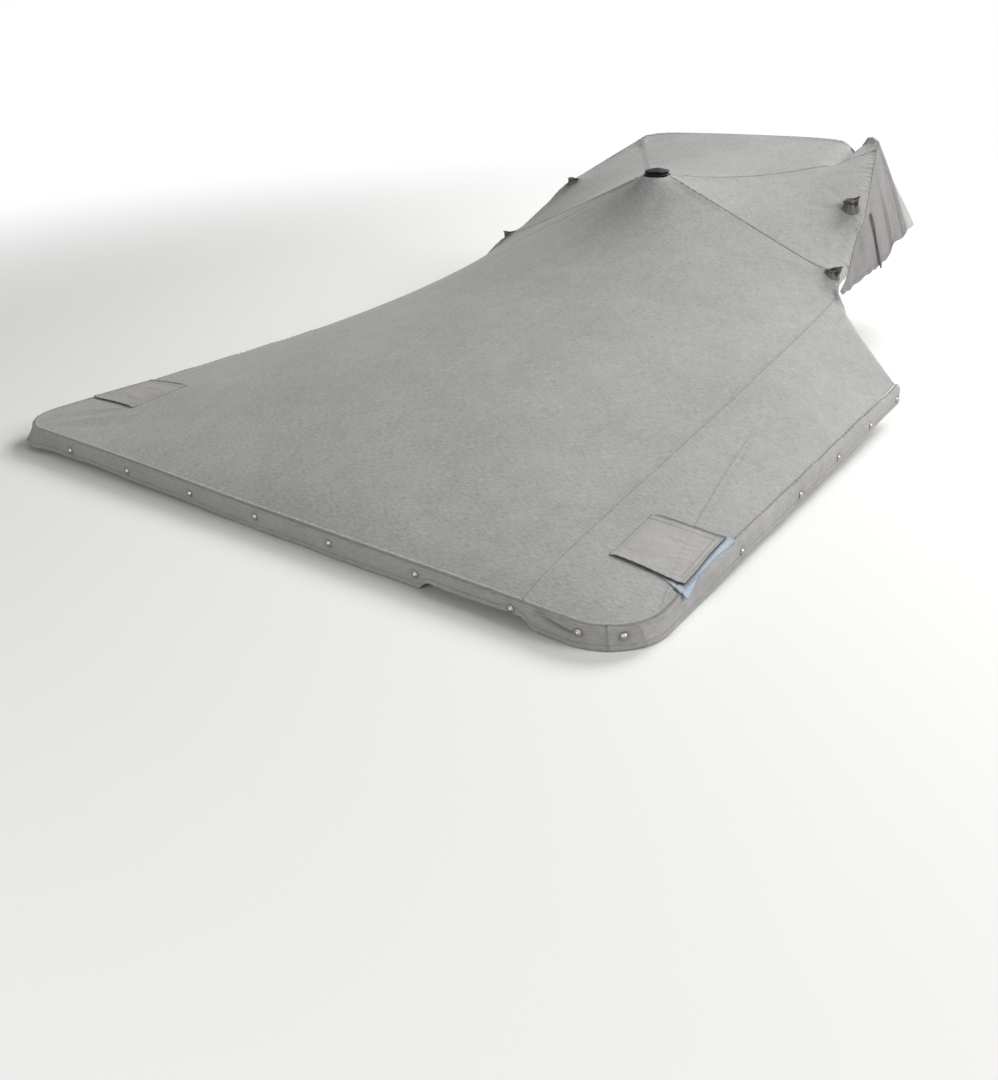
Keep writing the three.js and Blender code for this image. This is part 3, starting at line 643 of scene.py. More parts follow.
def thicken(obj, thickness, offset=-1.0):
    """Gives a sheet its thickness and turns the result into its mesh."""
    solid = obj.modifiers.new("Thickness", "SOLIDIFY")
    solid.thickness = thickness
    solid.offset = offset
    solid.use_rim = True
    return bake_modifiers(obj)


def bake_modifiers(obj):
    """Puts what the modifiers make into the object's own mesh."""
    graph = bpy.context.evaluated_depsgraph_get()
    mesh = bpy.data.meshes.new_from_object(obj.evaluated_get(graph), depsgraph=graph)
    mesh.name = obj.name
    obj.modifiers.clear()
    obj.data = mesh
    return obj


def finish_piece(obj, slot, *nodes):
    """Hands a piece to the frame, in place of its plain nodes."""
    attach(obj, "root")
    if nodes:
        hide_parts(*nodes)


def make_sheet(
    name, points, material, uv, shade, thickness, slot="canvas", offset=-1.0, kind="_cloth", **grid
):
    """A finished piece of cloth from a grid of points, in place of the node of its name."""
    # The shade goes into the seam attribute, which the cloth materials paint as shade.
    sheet = make_grid(name + kind, points, material, uv, seam=shade, **grid)
    thicken(sheet, thickness, offset)
    finish_piece(sheet, slot, name)


# ---- the five canvas panels ----
def panel_of(x, y):
    """Which panel of the top a place belongs to."""
    seam_ends = (0, LEGS[0].x, PAST_BOOT[0], 1200), (VENT[1], LEGS[0].y, PAST_BOOT[1], 1771)
    aft = y < np.interp(np.abs(x), *seam_ends)
    outboard = y - VENT[1] < np.abs(x) * (ROOF_SEAM[1] - VENT[1]) / ROOF_SEAM[0]
    seam_x = np.interp(y, [p[1] for p in SIDE_SEAM], [p[0] for p in SIDE_SEAM])
    names = np.full(np.shape(x), "roof_front_panel", dtype=object)
    names[outboard & (x > 0)] = "starboard_roof_side_panel"
    names[outboard & (x <= 0)] = "port_roof_side_panel"
    names[aft] = "aft_panel"
    names[aft & (x > seam_x)] = "starboard_side_panel"
    return names


# How far to each side of a line its finer rows of points lie.
SEAM_ROWS, TUCK_ROWS, HEM_ROWS = (1.4, 5, 11), (1.4, 5), (3, 8, 15)
FLAP_ROWS, MARK_ROWS = (0, 2.5, 5), (0, 2.5)


def top_plan(step):
    """Points and edges of the top in plan, with finer rows of points beside its seams and edges."""
    points, edges = [], []

    def add_line(line, closed=False):
        start = len(points)
        points.extend(map(tuple, np.asarray(line)[:, :2]))
        end = len(points)
        edges.extend((i, i + 1) for i in range(start, end - 1))
        if closed:
            edges.append((end - 1, start))

    outline = top_outline(8, HEM_INSET)
    add_line(outline, closed=True)
    circle = np.linspace(0, 2 * math.pi, 24, endpoint=False)
    holes = [(VENT[0], VENT[1], VENT_HOLE)]
    holes += [(leg.x * s, leg.y, LEG_HOLE) for leg in LEGS for _, s in SIDES]
    for x, y, r in holes:
        add_line(np.stack([x + r * np.cos(circle), y + r * np.sin(circle)], -1), closed=True)
    rows = []
    for line in seam_lines().values():
        seam = spaced(line, 8)
        add_line(seam)
        rows.append((seam, SEAM_ROWS))
    for _, s in SIDES:
        for edge in tuck_edges(s):
            add_line(edge)
            rows.append((edge, TUCK_ROWS))
    rows.append((np.concatenate([outline, outline[:1]]), HEM_ROWS))
    rows += [(flap_edge(side, s), FLAP_ROWS) for side, s in SIDES]
    rows += [(spaced([mark[:2], mark[2:4]], 5), MARK_ROWS) for mark in MARKS]
    fine = []
    for line, offsets in rows:
        line = line[:, :2]
        for offset in offsets:
            for sign in (-1, 1) if offset else (1,):
                shifted = line + rightward(line) * offset * sign
                fine.append(shifted[gap_to(*shifted.T, line) > offset * 0.9])
    across, ahead = np.arange(-1200, 1200, step), np.arange(0, 2760, step * 0.87)
    gx, gy = np.meshgrid(across, ahead, indexing="ij")
    gx = gx + (np.arange(gx.shape[1]) % 2) * step / 2
    lattice = np.stack([gx.ravel(), gy.ravel()], -1)
    for line, offsets in rows:
        lattice = lattice[gap_to(*lattice.T, line) > max(offsets) + step * 0.4]
    free = np.concatenate([*fine, lattice])
    free = free[inside(*free.T, outline)]
    fixed = np.array(points)
    return np.concatenate([fixed, thin_out(free, fixed, 1.2)]), edges, holes, outline


def thin_out(free, fixed, gap):
    """The free points that aren't nearly on another point."""
    taken = set(map(tuple, np.round(fixed / gap).astype(int).tolist()))
    keep = np.zeros(len(free), bool)
    for i, key in enumerate(map(tuple, np.round(free / gap).astype(int).tolist())):
        keep[i] = key not in taken
        taken.add(key)
    return free[keep]


def forward_roll(x, y):
    """The plain hem forward of the bands turns down."""
    turned = np.zeros(np.shape(x))
    for _, s in SIDES:
        d = gap_to(x, y, curve(mirrored([(1025, 1728, 0), *FORWARD_EDGE[1:]], s), 12))
        turned = turned - 9 * np.clip(1 - d / 24, 0, 1) ** 2 + 1.0 * bump(d - 30, 8)
    return turned


def flap_edge(side, s):
    """The free edges of a flap in plan, from its inboard aft corner round to the forward one."""
    a, b, c, d = mirrored(FLAPS[side], s)
    return spaced([a, d, c, b], 6)


def painted_top_shade(x, y):
    """Painted shade on the top: painted shadow lines along the edges of seams, tucks and
    pressed marks and under the flaps' free edges, and a soft painted shadow round each boot's foot.
    """
    shades = [
        SEAM_PAINTED_SHADOW[name.split("_")[-1]] * bump(gap_to(x, y, line), 1.3)
        for name, line in seam_lines().items()
    ]
    for side, s in SIDES:
        # Painted shadow under the flap's free edges.
        shades.append(1.3 * bump(gap_to(x, y, flap_edge(side, s)), 1.7))
        for edge in tuck_edges(s):
            d, along, _ = measure(x, y, edge)
            shades.append(0.25 * bump(d, 1.2) * ease((TUCK_LENGTH - along) / 260))
    shades += [0.5 * bump(gap_to(x, y, (mark[:2], mark[2:4])), 1.6) for mark in MARKS]
    for leg in LEGS:
        # Soft painted shadow round the foot of each boot.
        shades.append(0.3 * np.exp(-np.maximum(leg_gap(leg, x, y) - leg.foot, 0) / 12))
    return darkest(*shades)


def turned_edge(xy, z):
    """The cloth that turns down over the edge at the stern, sewn to the band below."""
    steps = hem_steps(8)
    steps = steps[steps < on_side(EDGE_CHANGE[1])]
    distance = np.concatenate([-steps[:0:-1], steps])
    x, y, nx, ny = hem(distance)
    on_top = np.stack([x - nx * HEM_INSET, y - ny * HEM_INSET], -1)
    first = np.array([np.argmin(np.hypot(xy[:, 0] - p[0], xy[:, 1] - p[1])) for p in on_top])
    t = np.linspace(0, 1, 9)[1:]
    r = edge_round(distance)
    start = r * (1 - math.pi / 2) - HEM_INSET
    down = start[:, None] + np.outer(sewn_at(distance) - start, t)
    fullness = 0.9 * np.sin(math.pi * np.clip(t * 1.1, 0, 1))
    fullness = fullness * (1 + 0.3 * np.sin(distance / 90))[:, None]
    points = edge_place(distance[:, None], down, fullness)
    points[..., 2] += (z[first] - edge_place(distance, start, 0)[:, 2])[:, None] * (1 - t)
    count = len(t)
    index = np.column_stack([first, len(xy) + np.arange(len(distance) * count).reshape(-1, count)])
    a, b, c, d = index[:-1, :-1], index[1:, :-1], index[1:, 1:], index[:-1, 1:]
    faces = np.concatenate([
        np.stack([a, c, b], -1).reshape(-1, 3), np.stack([a, d, c], -1).reshape(-1, 3),
    ])
    uv = np.stack([np.broadcast_to(distance[:, None], down.shape), -down], -1).reshape(-1, 2)
    # Painted shade: a painted shadow line in the crease just above the band's seam, and one along
    # the side seam.
    shade = darkest(
        0.7 * bump(down - sewn_at(distance)[:, None] + 2.8, 1.6),
        0.5 * bump(distance[:, None] - SIDE_SEAM[0][0], 1.6),
    )
    return points.reshape(-1, 3), faces, uv, shade.ravel()


def make_top(material):
    """The five panels, cut apart from one mesh along the seams."""
    plan, edges, holes, outline = top_plan(cover().spacing * 1000)
    found = delaunay_2d_cdt([Vector(p) for p in plan.tolist()], edges, [], 0, 1e-3)
    xy = np.array([tuple(v) for v in found[0]])
    faces = np.array([f for f in found[2] if len(f) == 3])
    middle = xy[faces].mean(axis=1)
    keep = inside(*middle.T, outline)
    for x, y, r in holes:
        keep &= np.hypot(middle[:, 0] - x, middle[:, 1] - y) > r * 0.995
    faces, middle = faces[keep], middle[keep]
    a, b, c = xy[faces[:, 0]], xy[faces[:, 1]], xy[faces[:, 2]]
    area = (b[:, 0] - a[:, 0]) * (c[:, 1] - a[:, 1]) - (b[:, 1] - a[:, 1]) * (c[:, 0] - a[:, 0])
    faces[area < 0] = faces[area < 0][:, ::-1]
    faces, middle = faces[np.abs(area) > 1e-3], middle[np.abs(area) > 1e-3]
    z = top_height(*xy.T) + forward_roll(*xy.T)
    edge_points, edge_faces, edge_uv, edge_shade = turned_edge(xy, z)
    points = np.concatenate([np.column_stack([xy, z]), edge_points])
    shade = np.concatenate([painted_top_shade(*xy.T), edge_shade])
    across = points[edge_faces][:, :, 0].mean(axis=1)
    edge_names = np.where(across > SIDE_SEAM[0][0], "starboard_side_panel", "aft_panel")
    names = np.concatenate([panel_of(*middle.T), edge_names])
    faces = np.concatenate([faces, edge_faces])
    uv = np.concatenate([xy, edge_uv])
    for name in sorted(set(names)):
        used, part = np.unique(faces[names == name], return_inverse=True)
        part = part.reshape(-1, 3)
        obj = make_object(name + "_cloth", points[used], part, material, uv[used], seam=shade[used])
        thicken(obj, cover().cloth)
        finish_piece(obj, "canvas", name)


# ---- wings and front ----
def at_y(table, y):
    table = np.asarray(table, float)
    return np.stack([np.interp(y, table[:, 1], table[:, k]) for k in range(3)], -1)


WING_HEM = 14.0
WING_STRIP = 26.0                # width of the strip sewn on along a wing's forward edge
STRAP_AT = 2376.0
STRAP_WIDTH = 18.0


def wing_heads(side):
    """The upper edge of a wing, from the aft boot to the roof corner."""
    head = np.array([*SHOULDER[side], ROOF_CORNER[side]], float)
    head[0] += (0, 12, -4)
    head[-1, 1] -= 2
    return curve(head, 6)


def wing_place(side, s, u, v):
    """A place on the plain wing: u runs forward and v down, both from 0 to 1."""
    head = wing_heads(side)
    foot = curve(WING_FOOT, 6)
    top = at_y(head, head[0, 1] + (head[-1, 1] - head[0, 1]) * u)
    low = at_y(foot, foot[0, 1] + (foot[-1, 1] - foot[0, 1]) * u)
    p = top + (low - top) * v[..., None]
    p[..., 0] += 1.0 + (3 + 5 * u) * np.sin(math.pi * v)
    return p * (s, 1, 1)


# Folds of a wing, in plan lengths: forward along it and down it, both from 0 to 1.
WING_FOLDS = (
    (0.99, 0.02, 0.80, 0.30, 0.016, 4.5), (0.97, 0.01, 0.72, 0.16, 0.014, -4.0),
    (0.985, 0.08, 0.86, 0.62, 0.017, 3.5), (0.96, 0.10, 0.78, 0.60, 0.022, -3.6),
    (0.93, 0.03, 0.62, 0.24, 0.018, 3.0), (0.995, 0.20, 0.95, 0.75, 0.012, -3.0),
    (0.42, 0.05, 0.58, 0.55, 0.018, 2.6), (0.46, 0.08, 0.66, 0.70, 0.022, -2.8),
    (0.40, 0.06, 0.40, 0.70, 0.014, 2.6), (0.36, 0.05, 0.33, 0.80, 0.016, -2.8),
    (0.30, 0.10, 0.27, 0.95, 0.014, 2.6), (0.25, 0.10, 0.20, 0.90, 0.014, -2.4),
    (0.14, 0.10, 0.12, 0.95, 0.012, 2.4), (0.08, 0.10, 0.05, 0.95, 0.012, -2.6),
    (0.76, 0.98, 0.70, 0.60, 0.016, 3.4), (0.82, 0.98, 0.84, 0.66, 0.014, -3.6),
    (0.88, 0.97, 0.92, 0.55, 0.016, 3.2), (0.62, 0.97, 0.60, 0.70, 0.016, -2.6),
    (0.52, 0.97, 0.54, 0.74, 0.014, 2.6), (0.94, 0.95, 0.97, 0.62, 0.010, -3.0),
)


def make_wing(side, s, material):
    """A panel down one side of the windscreen, with its folds, hem and forward strip."""
    u, v = np.meshgrid(np.linspace(0, 1, 130), np.linspace(0, 1, 56) ** 0.9, indexing="ij")
    p = wing_place(side, s, u, v)
    drop = np.linalg.norm(p[:, :1] - p[:, -1:], axis=2, keepdims=True)[..., 0]
    down = drop * v
    calm = 0.16 + 0.4 * ease((u - 0.9) / 0.08) * ease((0.4 - v) / 0.2)
    relief = calm * fold_relief(u, v, WING_FOLDS)
    relief += cover().pucker * 1400 * np.sin(u * 800 / 3.6 + np.sin(u * 17)) * bump(down, 14)
    relief += 1.5 * ease((down - drop + WING_HEM) / 4)
    relief += 1.3 * np.sin(u * 46 + 1.5 * np.sin(u * 13)) * bump(drop - down, 26)
    relief *= ease(down / 14) * ease((1 - u) * 40) * ease(u * 40) * 0.9 + 0.1
    out = np.cross(np.gradient(p, axis=0), np.gradient(p, axis=1))
    out /= np.linalg.norm(out, axis=2, keepdims=True) * np.where(out[..., :1] * s > 0, 1, -1)
    points = p + out * relief[..., None]
    points[..., 2] += 2.5 * np.sin(u * 60 + 2 * np.sin(u * 11)) * bump(drop - down, 12)
    strip = (1 - u) * 760 * (1 - 0.45 * v)
    edge = 0.8 * np.sin(down / 5.5) * bump(strip - 14, 16) * ease(1.2 - down / 130)
    edge = 1.2 * ease((WING_STRIP - strip) / 3) + edge
    points += out * edge[..., None] * ease(down / 6)[..., None]
    # Painted shade: painted shadow lines along the upper seam, the hem's stitching and the edge of
    # the forward strip.
    shade = darkest(
        0.4 * bump(down, 1.6), 0.4 * bump(drop - down - WING_HEM, 1.6),
        0.7 * bump(strip - WING_STRIP, 2.4),
    )
    uv = np.stack([p[..., 1], down], -1)
    make_sheet(side + "_wing_panel", points, material, uv, shade, cover().cloth, flip=s > 0)


def make_strap(side, s, material):
    """Dark webbing sewn on the wing below the forward boot, its end hanging past the hem."""
    t, across = np.meshgrid(np.linspace(0, 1, 40), np.linspace(-0.5, 0.5, 7), indexing="ij")
    v = 0.16 + 0.87 * t
    taper = 1 - 0.25 * ease((t - 0.97) / 0.03)
    y = STRAP_AT + 30 * t + across * STRAP_WIDTH * taper
    head = wing_heads(side)
    y0 = head[0, 1] + (WING_FOOT[0][1] - head[0, 1]) * v
    y1 = head[-1, 1] + (WING_FOOT[-1][1] - head[-1, 1]) * v
    p = wing_place(side, s, (y - y0) / (y1 - y0), v)
    p[..., 0] += s * (4.6 + 1.0 * np.cos(across * math.pi) + 1.2 * np.sin(t * 9))
    uv = np.stack([across * 22, t * 230], -1)
    make_sheet(
        side + "_wing_strap", p, material, uv, np.zeros_like(t), 0.0016, "webbing",
        kind="_webbing", flip=s > 0,
    )


# The front panel's two ends, tucked in under the wings, each from starboard to port.
FRONT_ENDS = {
    "starboard": ((493, 2750, 661), (573, 2745, 500), (641, 2743, 352)),
    "port": ((-641, 2743, 352), (-586, 2745, 500), (-529, 2750, 636)),
}
FRONT_MIDDLE = (0, 2500, 500)    # the front panel bulges away from this place


def make_front(material):
    """The panel over the outside of the windscreen, from wing to wing."""
    head = curve([(x, ROOF_Y + 2.0, z - 1) for x, z in HEADER], 6)
    starboard, port = (curve(FRONT_ENDS[side], 6) for side, _ in SIDES)
    upper = spaced(np.concatenate([port, head[1:], starboard[1:]]), 10)
    low = [(-x, y, z) for x, y, z in FRONT_FOOT[:-1]] + list(FRONT_FOOT[::-1])
    lower = spaced(curve(low, 6), 5)
    lower = lower[np.linspace(0, len(lower) - 1, len(upper)).round().astype(int)]
    t, _ = np.meshgrid(np.linspace(0, 1, 40), np.arange(len(upper)), indexing="xy")
    points = upper[:, None] + (lower - upper)[:, None] * t[..., None]
    run = np.arange(len(upper))[:, None] * 10.0
    down = np.linalg.norm(points - points[:, :1], axis=2)
    bulge = np.sin(math.pi * t)
    bulge = 6 * bulge + 1.6 * np.sin(run / 37 + 2 * np.sin(run / 90)) * bulge
    away = points - np.array(FRONT_MIDDLE)
    away[..., 2] = 0
    away /= np.linalg.norm(away, axis=2, keepdims=True)
    points = points + away * (bulge + 0.7 * np.sin(run / 3.4) * bump(down, 14))[..., None]
    # Painted shade: painted shadow lines along the upper seam and the stitching below it.
    shade = darkest(0.8 * bump(down, 2.5), 0.4 * bump(down - 14, 2))
    uv = np.stack([np.broadcast_to(run, t.shape), down], -1)
    make_sheet("front_panel", points, material, uv, shade, cover().cloth)


# ---- hem bands ----
def stud_places():
    """Signed distances round the hem to every press stud."""
    places = [float(x) for x in STERN_STUDS]
    places += [s * on_corner(degrees) for s, degrees in CORNER_STUDS]
    places += [s * on_side(y) for _, s in SIDES for y in SIDE_STUDS]
    return places


def notch_rise(distance):
    start, end, rise, slope = NOTCH
    edge = np.minimum(distance - start, end - distance) / slope
    return np.where(edge > 0, rise * np.sin(np.clip(edge, 0, 1) * math.pi / 2), 0)


# A pleat of slack cloth lies along the stern band from its join down to the corner stud; its shadow
# is painted along this line.
PLEAT_SHADOW = ((918, 15), (1010, -3))
# Slack folds of the band: along the hem and up from the studs, in mm.
BAND_FOLDS = (
    (925, 22, 1014, 6, 6, 4.0), (915, -2, 1006, -14, 9, 5.0), (892, -22, 915, 14, 8, 2.4),
    (-560, -30, -470, 30, 16, 1.2), (-840, 4, -935, 30, 10, 2.4), (-845, -6, -960, 8, 9, -1.6),
    (-262, 8, -120, 30, 12, 1.3), (290, 6, 420, 28, 12, 1.2), (565, 4, 640, 26, 9, 1.6),
    (-985, -20, -1010, 30, 9, -1.6), (1290, 30, 1350, -30, 12, 1.6),
    (1340, 30, 1400, -28, 12, -1.6), (1440, 28, 1500, -30, 14, 1.4),
    (1990, 28, 2060, -26, 14, 1.4), (2230, 26, 2290, -28, 14, -1.4),
    (2480, 28, 2530, -28, 12, 1.4),
)


def band_relief(distance, z):
    """How far the band stands out between its studs, and its hem at the lower edge."""
    out = 1.2 * np.sin(distance / 47 + 1.3 * np.sin(distance / 160)) * ease((BAND_TOP - z) / 60)
    out = out + fold_relief(distance, z, BAND_FOLDS)
    for place in stud_places():
        out = out - 2.0 * bump(np.hypot(distance - place, z), 15)
    return np.maximum(out, -1.4)


def band_low(distance):
    """Height of the band's lower edge: notched for the rail, and higher along the sides and at
    the port end of the stern."""
    run = np.abs(distance)
    low = -BAND_TOP + np.where(run < CORNER_START, notch_rise(distance), 0)
    low = low + np.maximum(14 * ease((run - on_side(250)) / 250), 12 * port_end(distance))
    return low + 0.9 * np.sin(distance / 61 + np.sin(distance / 130))


def leaning(distance, t):
    """Slants the forward seam of each corner band: t runs down the band."""
    seam = on_corner(CORNER_SEAMS[1])
    return distance - np.sign(distance) * (20 - 22 * t) * bump(np.abs(distance) - seam, 60)


def make_band(name, start, end, material, slot):
    count = int(abs(end - start) / 6) + 1
    distance, t = np.meshgrid(np.linspace(start, end, count), np.linspace(0, 1, 26), indexing="ij")
    ends = np.minimum(np.abs(distance - start), np.abs(distance - end))
    distance = leaning(distance, t)
    lap = 1.7 * ease((10 - ends) / 3) * ("corner" in name)
    top = sewn_at(distance) - BAND_LAP
    low = face_down(distance, band_low(distance))
    down = top + (low - top) * t
    z = face_start(distance) - down
    from_top, from_low = down - top, low - down
    lift = BAND_OFF + lap + band_relief(distance, z) * ease(from_top / 8)
    lift = lift - 2.6 * bump(from_top, 2.8)
    lift = lift + 1.0 * ease((13 - from_low) / 2.5) - 0.8 * bump(from_low - BAND_HEM, 1.6)
    lift = lift + 0.25 * np.sin(distance / 3.3 + np.sin(distance / 37)) * bump(from_top - 7, 5)
    points = edge_place(distance, down, lift)
    # Painted shade: painted shadow lines under the band's upper edge, along its hem's stitching and
    # at its ends.
    shades = [
        0.8 * bump(from_top - 1.8, 1.8), 0.3 * bump(from_low - BAND_HEM, 1.3),
        0.25 * bump(ends, 1.2),
    ]
    # Painted shade: a painted shadow line along the join, and the pleat's painted shadow, wider and
    # darker towards the stud.
    if start < BAND_JOIN < end:
        under, along, _ = measure(distance, z, PLEAT_SHADOW)
        shades.append(0.5 * bump(distance - BAND_JOIN, 1.2))
        shades.append((0.55 + along / 240) * bump(under, 8 - along / 22))
    # Painted shadow round each press stud and under its cap.
    for place in stud_places():
        ring = np.hypot(distance - place, z) - STUD_RING
        shades.append(0.75 * np.exp(-np.maximum(ring, 0) / 3.5))
    uv = np.stack([distance, -down], -1)
    thickness = cover().cloth * 1.3
    make_sheet(name, points, material, uv, darkest(*shades), thickness, slot, flip=end > start)


def make_bands(stern, side_cloth):
    a, b = (on_corner(d) for d in CORNER_SEAMS)
    make_band("stern_band", -a + 0.4, a - 0.4, stern, "band_canvas")
    for side, s in SIDES:
        make_band(side + "_corner_band", s * (a - 6), s * (b + 6), stern, "band_canvas")
        make_band(side + "_side_band", s * (b + 0.4), s * HEM_END, side_cloth, "side_band_canvas")


# ---- loose flaps ----
FLAP_FOLDS = (
    (0.10, 0.25, 0.85, 0.40, 0.06, 2.2), (0.12, 0.50, 0.80, 0.58, 0.07, -2.0),
    (0.30, 0.72, 0.90, 0.66, 0.05, 1.6), (0.55, 0.08, 0.60, 0.45, 0.06, -1.4),
    (0.75, 0.85, 0.60, 0.55, 0.05, -1.5),
)


def over_band(x, y):
    """How much higher a cloth lies where it passes over the side band's sewn edge."""
    return 3.5 * ease((28 - gap_to(np.abs(x), y, band_line())) / 12)


def patch_of(corners, s, count):
    """Places over a four-cornered cloth: u from the inboard aft corner forwards, v outboard."""
    a, b, c, d = (np.array(p, float) * (s, 1) for p in corners)
    v, u = np.meshgrid(np.linspace(0, 1, count), np.linspace(0, 1, count), indexing="ij")
    aft = a + (d - a) * v[..., None]
    fore = b + (c - b) * v[..., None]
    return aft + (fore - aft) * u[..., None], u, v


def make_flap(side, s, material):
    """A flap sewn down along its inboard edge, its other edges hemmed and a little lifted."""
    forwards, outboard = FLAP_SIZE
    inner, outer = FLAP_HEM
    lift, raise_by = FLAP_LIFT[side]
    plan, u, v = patch_of(FLAPS[side], s, 90)
    wander = 1.6 * np.sin(v * 6 + 0.8) * (np.abs(2 * u - 1) ** 6) * v
    plan = plan + np.stack([0.8 * np.sin(u * 7) * v**8, wander], -1)
    x, y = plan[..., 0], plan[..., 1]
    from_edge = np.minimum(np.minimum(u, 1 - u) * forwards, (1 - v) * outboard)
    aft_lift = 0.35 + 0.65 * np.sin(math.pi * np.clip(v * 1.15, 0, 1)) ** 0.8
    height = 0.6 + raise_by * ease(v / 0.10)
    height += lift * bump(u, 0.10) * aft_lift
    height += 0.7 * lift * bump(1 - u, 0.07) * ease(v * 3) * (0.7 + 0.3 * np.sin(v * 8))
    height += 0.8 * lift * bump(1 - v, 0.07) * (0.6 + 0.4 * np.sin(u * 6 + 1))
    height += 0.9 * ease((inner - from_edge) / 2.5) + 0.9 * ease((outer - from_edge) / 2)
    height += fold_relief(v, u, FLAP_FOLDS)
    height += 0.5 * np.sin(v * 62 + 2 * np.sin(v * 9)) * bump(from_edge - 8, 14) * ease(v * 4)
    height = np.maximum(height, 0.6 + 0.9 * raise_by * ease(v / 0.10))
    z = top_height(x, y) + height + over_band(x, y)
    # Painted shade: painted shadow lines along the hem's stitching and the sewn inboard edge, and
    # dark painted shadow along the free edges.
    shade = darkest(
        0.45 * bump(from_edge - inner, 1.5), 0.35 * bump(from_edge - outer, 1.4),
        0.6 * bump(v * outboard, 2.4),
        1.6 * bump(np.where(v * outboard > 12, from_edge, 99), 2.0),
    )
    # Painted shade: the port flap is darkened a little all over.
    if s < 0:
        shade = shade + 0.12
    # Painted shadow along the flap's forward edge.
    shade = darkest(shade, 1.4 * bump((1 - u) * forwards, 6 if s > 0 else 10) * ease(v * 6))
    make_sheet(
        side + "_flap", np.stack([x, y, z], -1), material, plan, shade, cover().cloth,
        offset=1.0, flip=s > 0,
    )


def make_patch(material):
    """Pale blue cloth that shows past the flap's outboard edge and its aft corner."""
    plan, u, v = patch_of(PATCH, 1, 70)
    pull = 13 * np.sin(math.pi * np.clip(u * 1.1 - 0.05, 0, 1)) * v**5
    tuck = 10 * np.sin(math.pi * v) * (1 - u) ** 5
    plan = plan + np.stack([-pull, tuck], -1)
    x, y = plan[..., 0], plan[..., 1]
    past_edge = x > np.interp(y, (0, 150, 600), (1100, 1138, 1108))
    over = np.where(past_edge, gap_to(x, y, band_line()), 0)
    z = top_height(np.minimum(x, 1132), y) + 0.9
    z = z + 0.4 * np.sin(v * 14 + u * 9) ** 2 * v - 0.5 * over + over_band(x, y)
    edge = np.minimum(np.minimum(u, 1 - u), 1 - v) * 230
    under = gap_to(x, y, flap_edge("starboard", 1))
    # Painted shade: a painted shadow line round the patch's edges and a broad painted shadow along
    # the flap's edge above it.
    shade = darkest(0.9 * bump(edge, 1.5), 1.5 * bump(under, 3.2))
    make_sheet(
        "starboard_flap_under_patch", np.stack([x, y, z], -1), material, plan, shade, 0.0008,
        "blue_patch", flip=True,
    )


# ---- boots ----
GATHERS = ((5, 1.9, 0.3), (8, 1.5, 1.9), (13, 0.8, 4.0))     # count, depth and turn of the pleats


def about(angle, centre, width):
    """1 at a place on a turn, falling away to both sides of it."""
    return bump(np.angle(np.exp(1j * (angle - centre))), width)


def make_boot(side, s, leg, material):
    """A gathered collar drawn in round a frame leg: open above, with a dark tie under its rim
    and, to starboard, a slack turned cuff on the outboard side."""
    turn = np.linspace(0, 2 * math.pi, 120, endpoint=False)
    angle, t = np.meshgrid(turn, np.linspace(0, 1, 56), indexing="ij")
    outer = np.clip(t / 0.82, 0, 1)
    inner = np.clip((t - 0.84) / 0.16, 0, 1)
    phase = 2.2 if leg.name == "aft" else 0.4
    pleats = sum(d * np.sin(n * angle + a + phase + 1.3 * outer) for n, d, a in GATHERS)
    ear = about(angle, 0.67, 1.0) * (s > 0)
    height = leg.height * BOOT_STANDS[side]
    radius = leg.top - 4 + (0.92 * leg.foot - leg.top + 4) * (1 - ease(outer * 1.15)) ** 1.5
    radius = radius * (1 + 0.10 * np.cos(2 * angle + 0.5) * outer)
    radius = radius + 5 * ear * ease((outer - 0.7) / 0.3)
    radius = radius + pleats * (0.1 + 0.9 * ease(outer * 2))
    tie = bump(outer - 0.70, 0.08)
    radius = radius - 2.0 * tie + 3.0 * ease((outer - 0.76) / 0.2)
    radius = radius - 3.0 * ease(inner * 4) - 2 * inner
    x = leg.x + radius * np.cos(angle)
    y = leg.y + radius * np.sin(angle)
    ground = top_height(x * s, y) - 0.8 * ease(1 - outer * 12)
    tilt = math.tan(math.radians(leg.lean))
    rim = leg.z + height + 2 + (x - leg.x) * 0.15 + 6 * ear + 2.0 * np.sin(3 * angle + phase)
    z = ground + (rim - ground) * outer**1.25 - 24 * inner
    x = x + (z - leg.z) * tilt * ease(outer * 2)
    points = np.stack([x * s, y, z], -1)
    uv = np.stack([angle * leg.foot, t * 90], -1)
    # Painted shade at the boot's foot, in the valleys of the pleats, as a painted shadow line down
    # the outboard-forward side of the starboard boots, and inside the opening; the tie and the cuff
    # are darkened as well.
    edge = about(angle, 0.45, 0.22) * (s > 0)
    shade = darkest(
        0.5 * bump(outer, 0.06),
        0.75 * bump(outer - 0.71, 0.05) * (inner <= 0),
        0.5 * np.clip(-pleats / 3, 0, 1) * np.sin(math.pi * outer),
        0.85 * ear**2 * ease((outer - 0.72) / 0.1),
        1.3 * edge * ease((outer - 0.25) / 0.1),
        ease(inner * 2) * 1.1,
    )
    make_sheet(
        f"{side}_{leg.name}_boot", points, material, uv, shade, 0.0009, "boot_canvas",
        offset=1.0, closed=True, flip=s > 0,
    )


# ---- vent ----
VENT_BASE = (
    (0, -2), (26, -2), (27, -1), (27, 1), (44, 1), (46, 2.5), (46.5, 5), (45, 8.5), (42, 10.5),
    (41, 13), (0, 13),
)
VENT_CAP = (
    (0, 12.5), (41, 12.5), (44.5, 13.2), (46, 15), (45.5, 17.5), (42, 19.6), (18, 25.6),
    (14, 26.6), (0, 27.2),
)


def turned(profile, sides):
    """A grid of points turned about Z from rows of radius and height."""
    angle = np.linspace(0, 2 * math.pi, sides, endpoint=False)
    r, z = np.asarray(profile, float).T
    x, y = np.outer(np.cos(angle), r), np.outer(np.sin(angle), r)
    return np.stack([x, y, np.broadcast_to(z, x.shape)], -1)


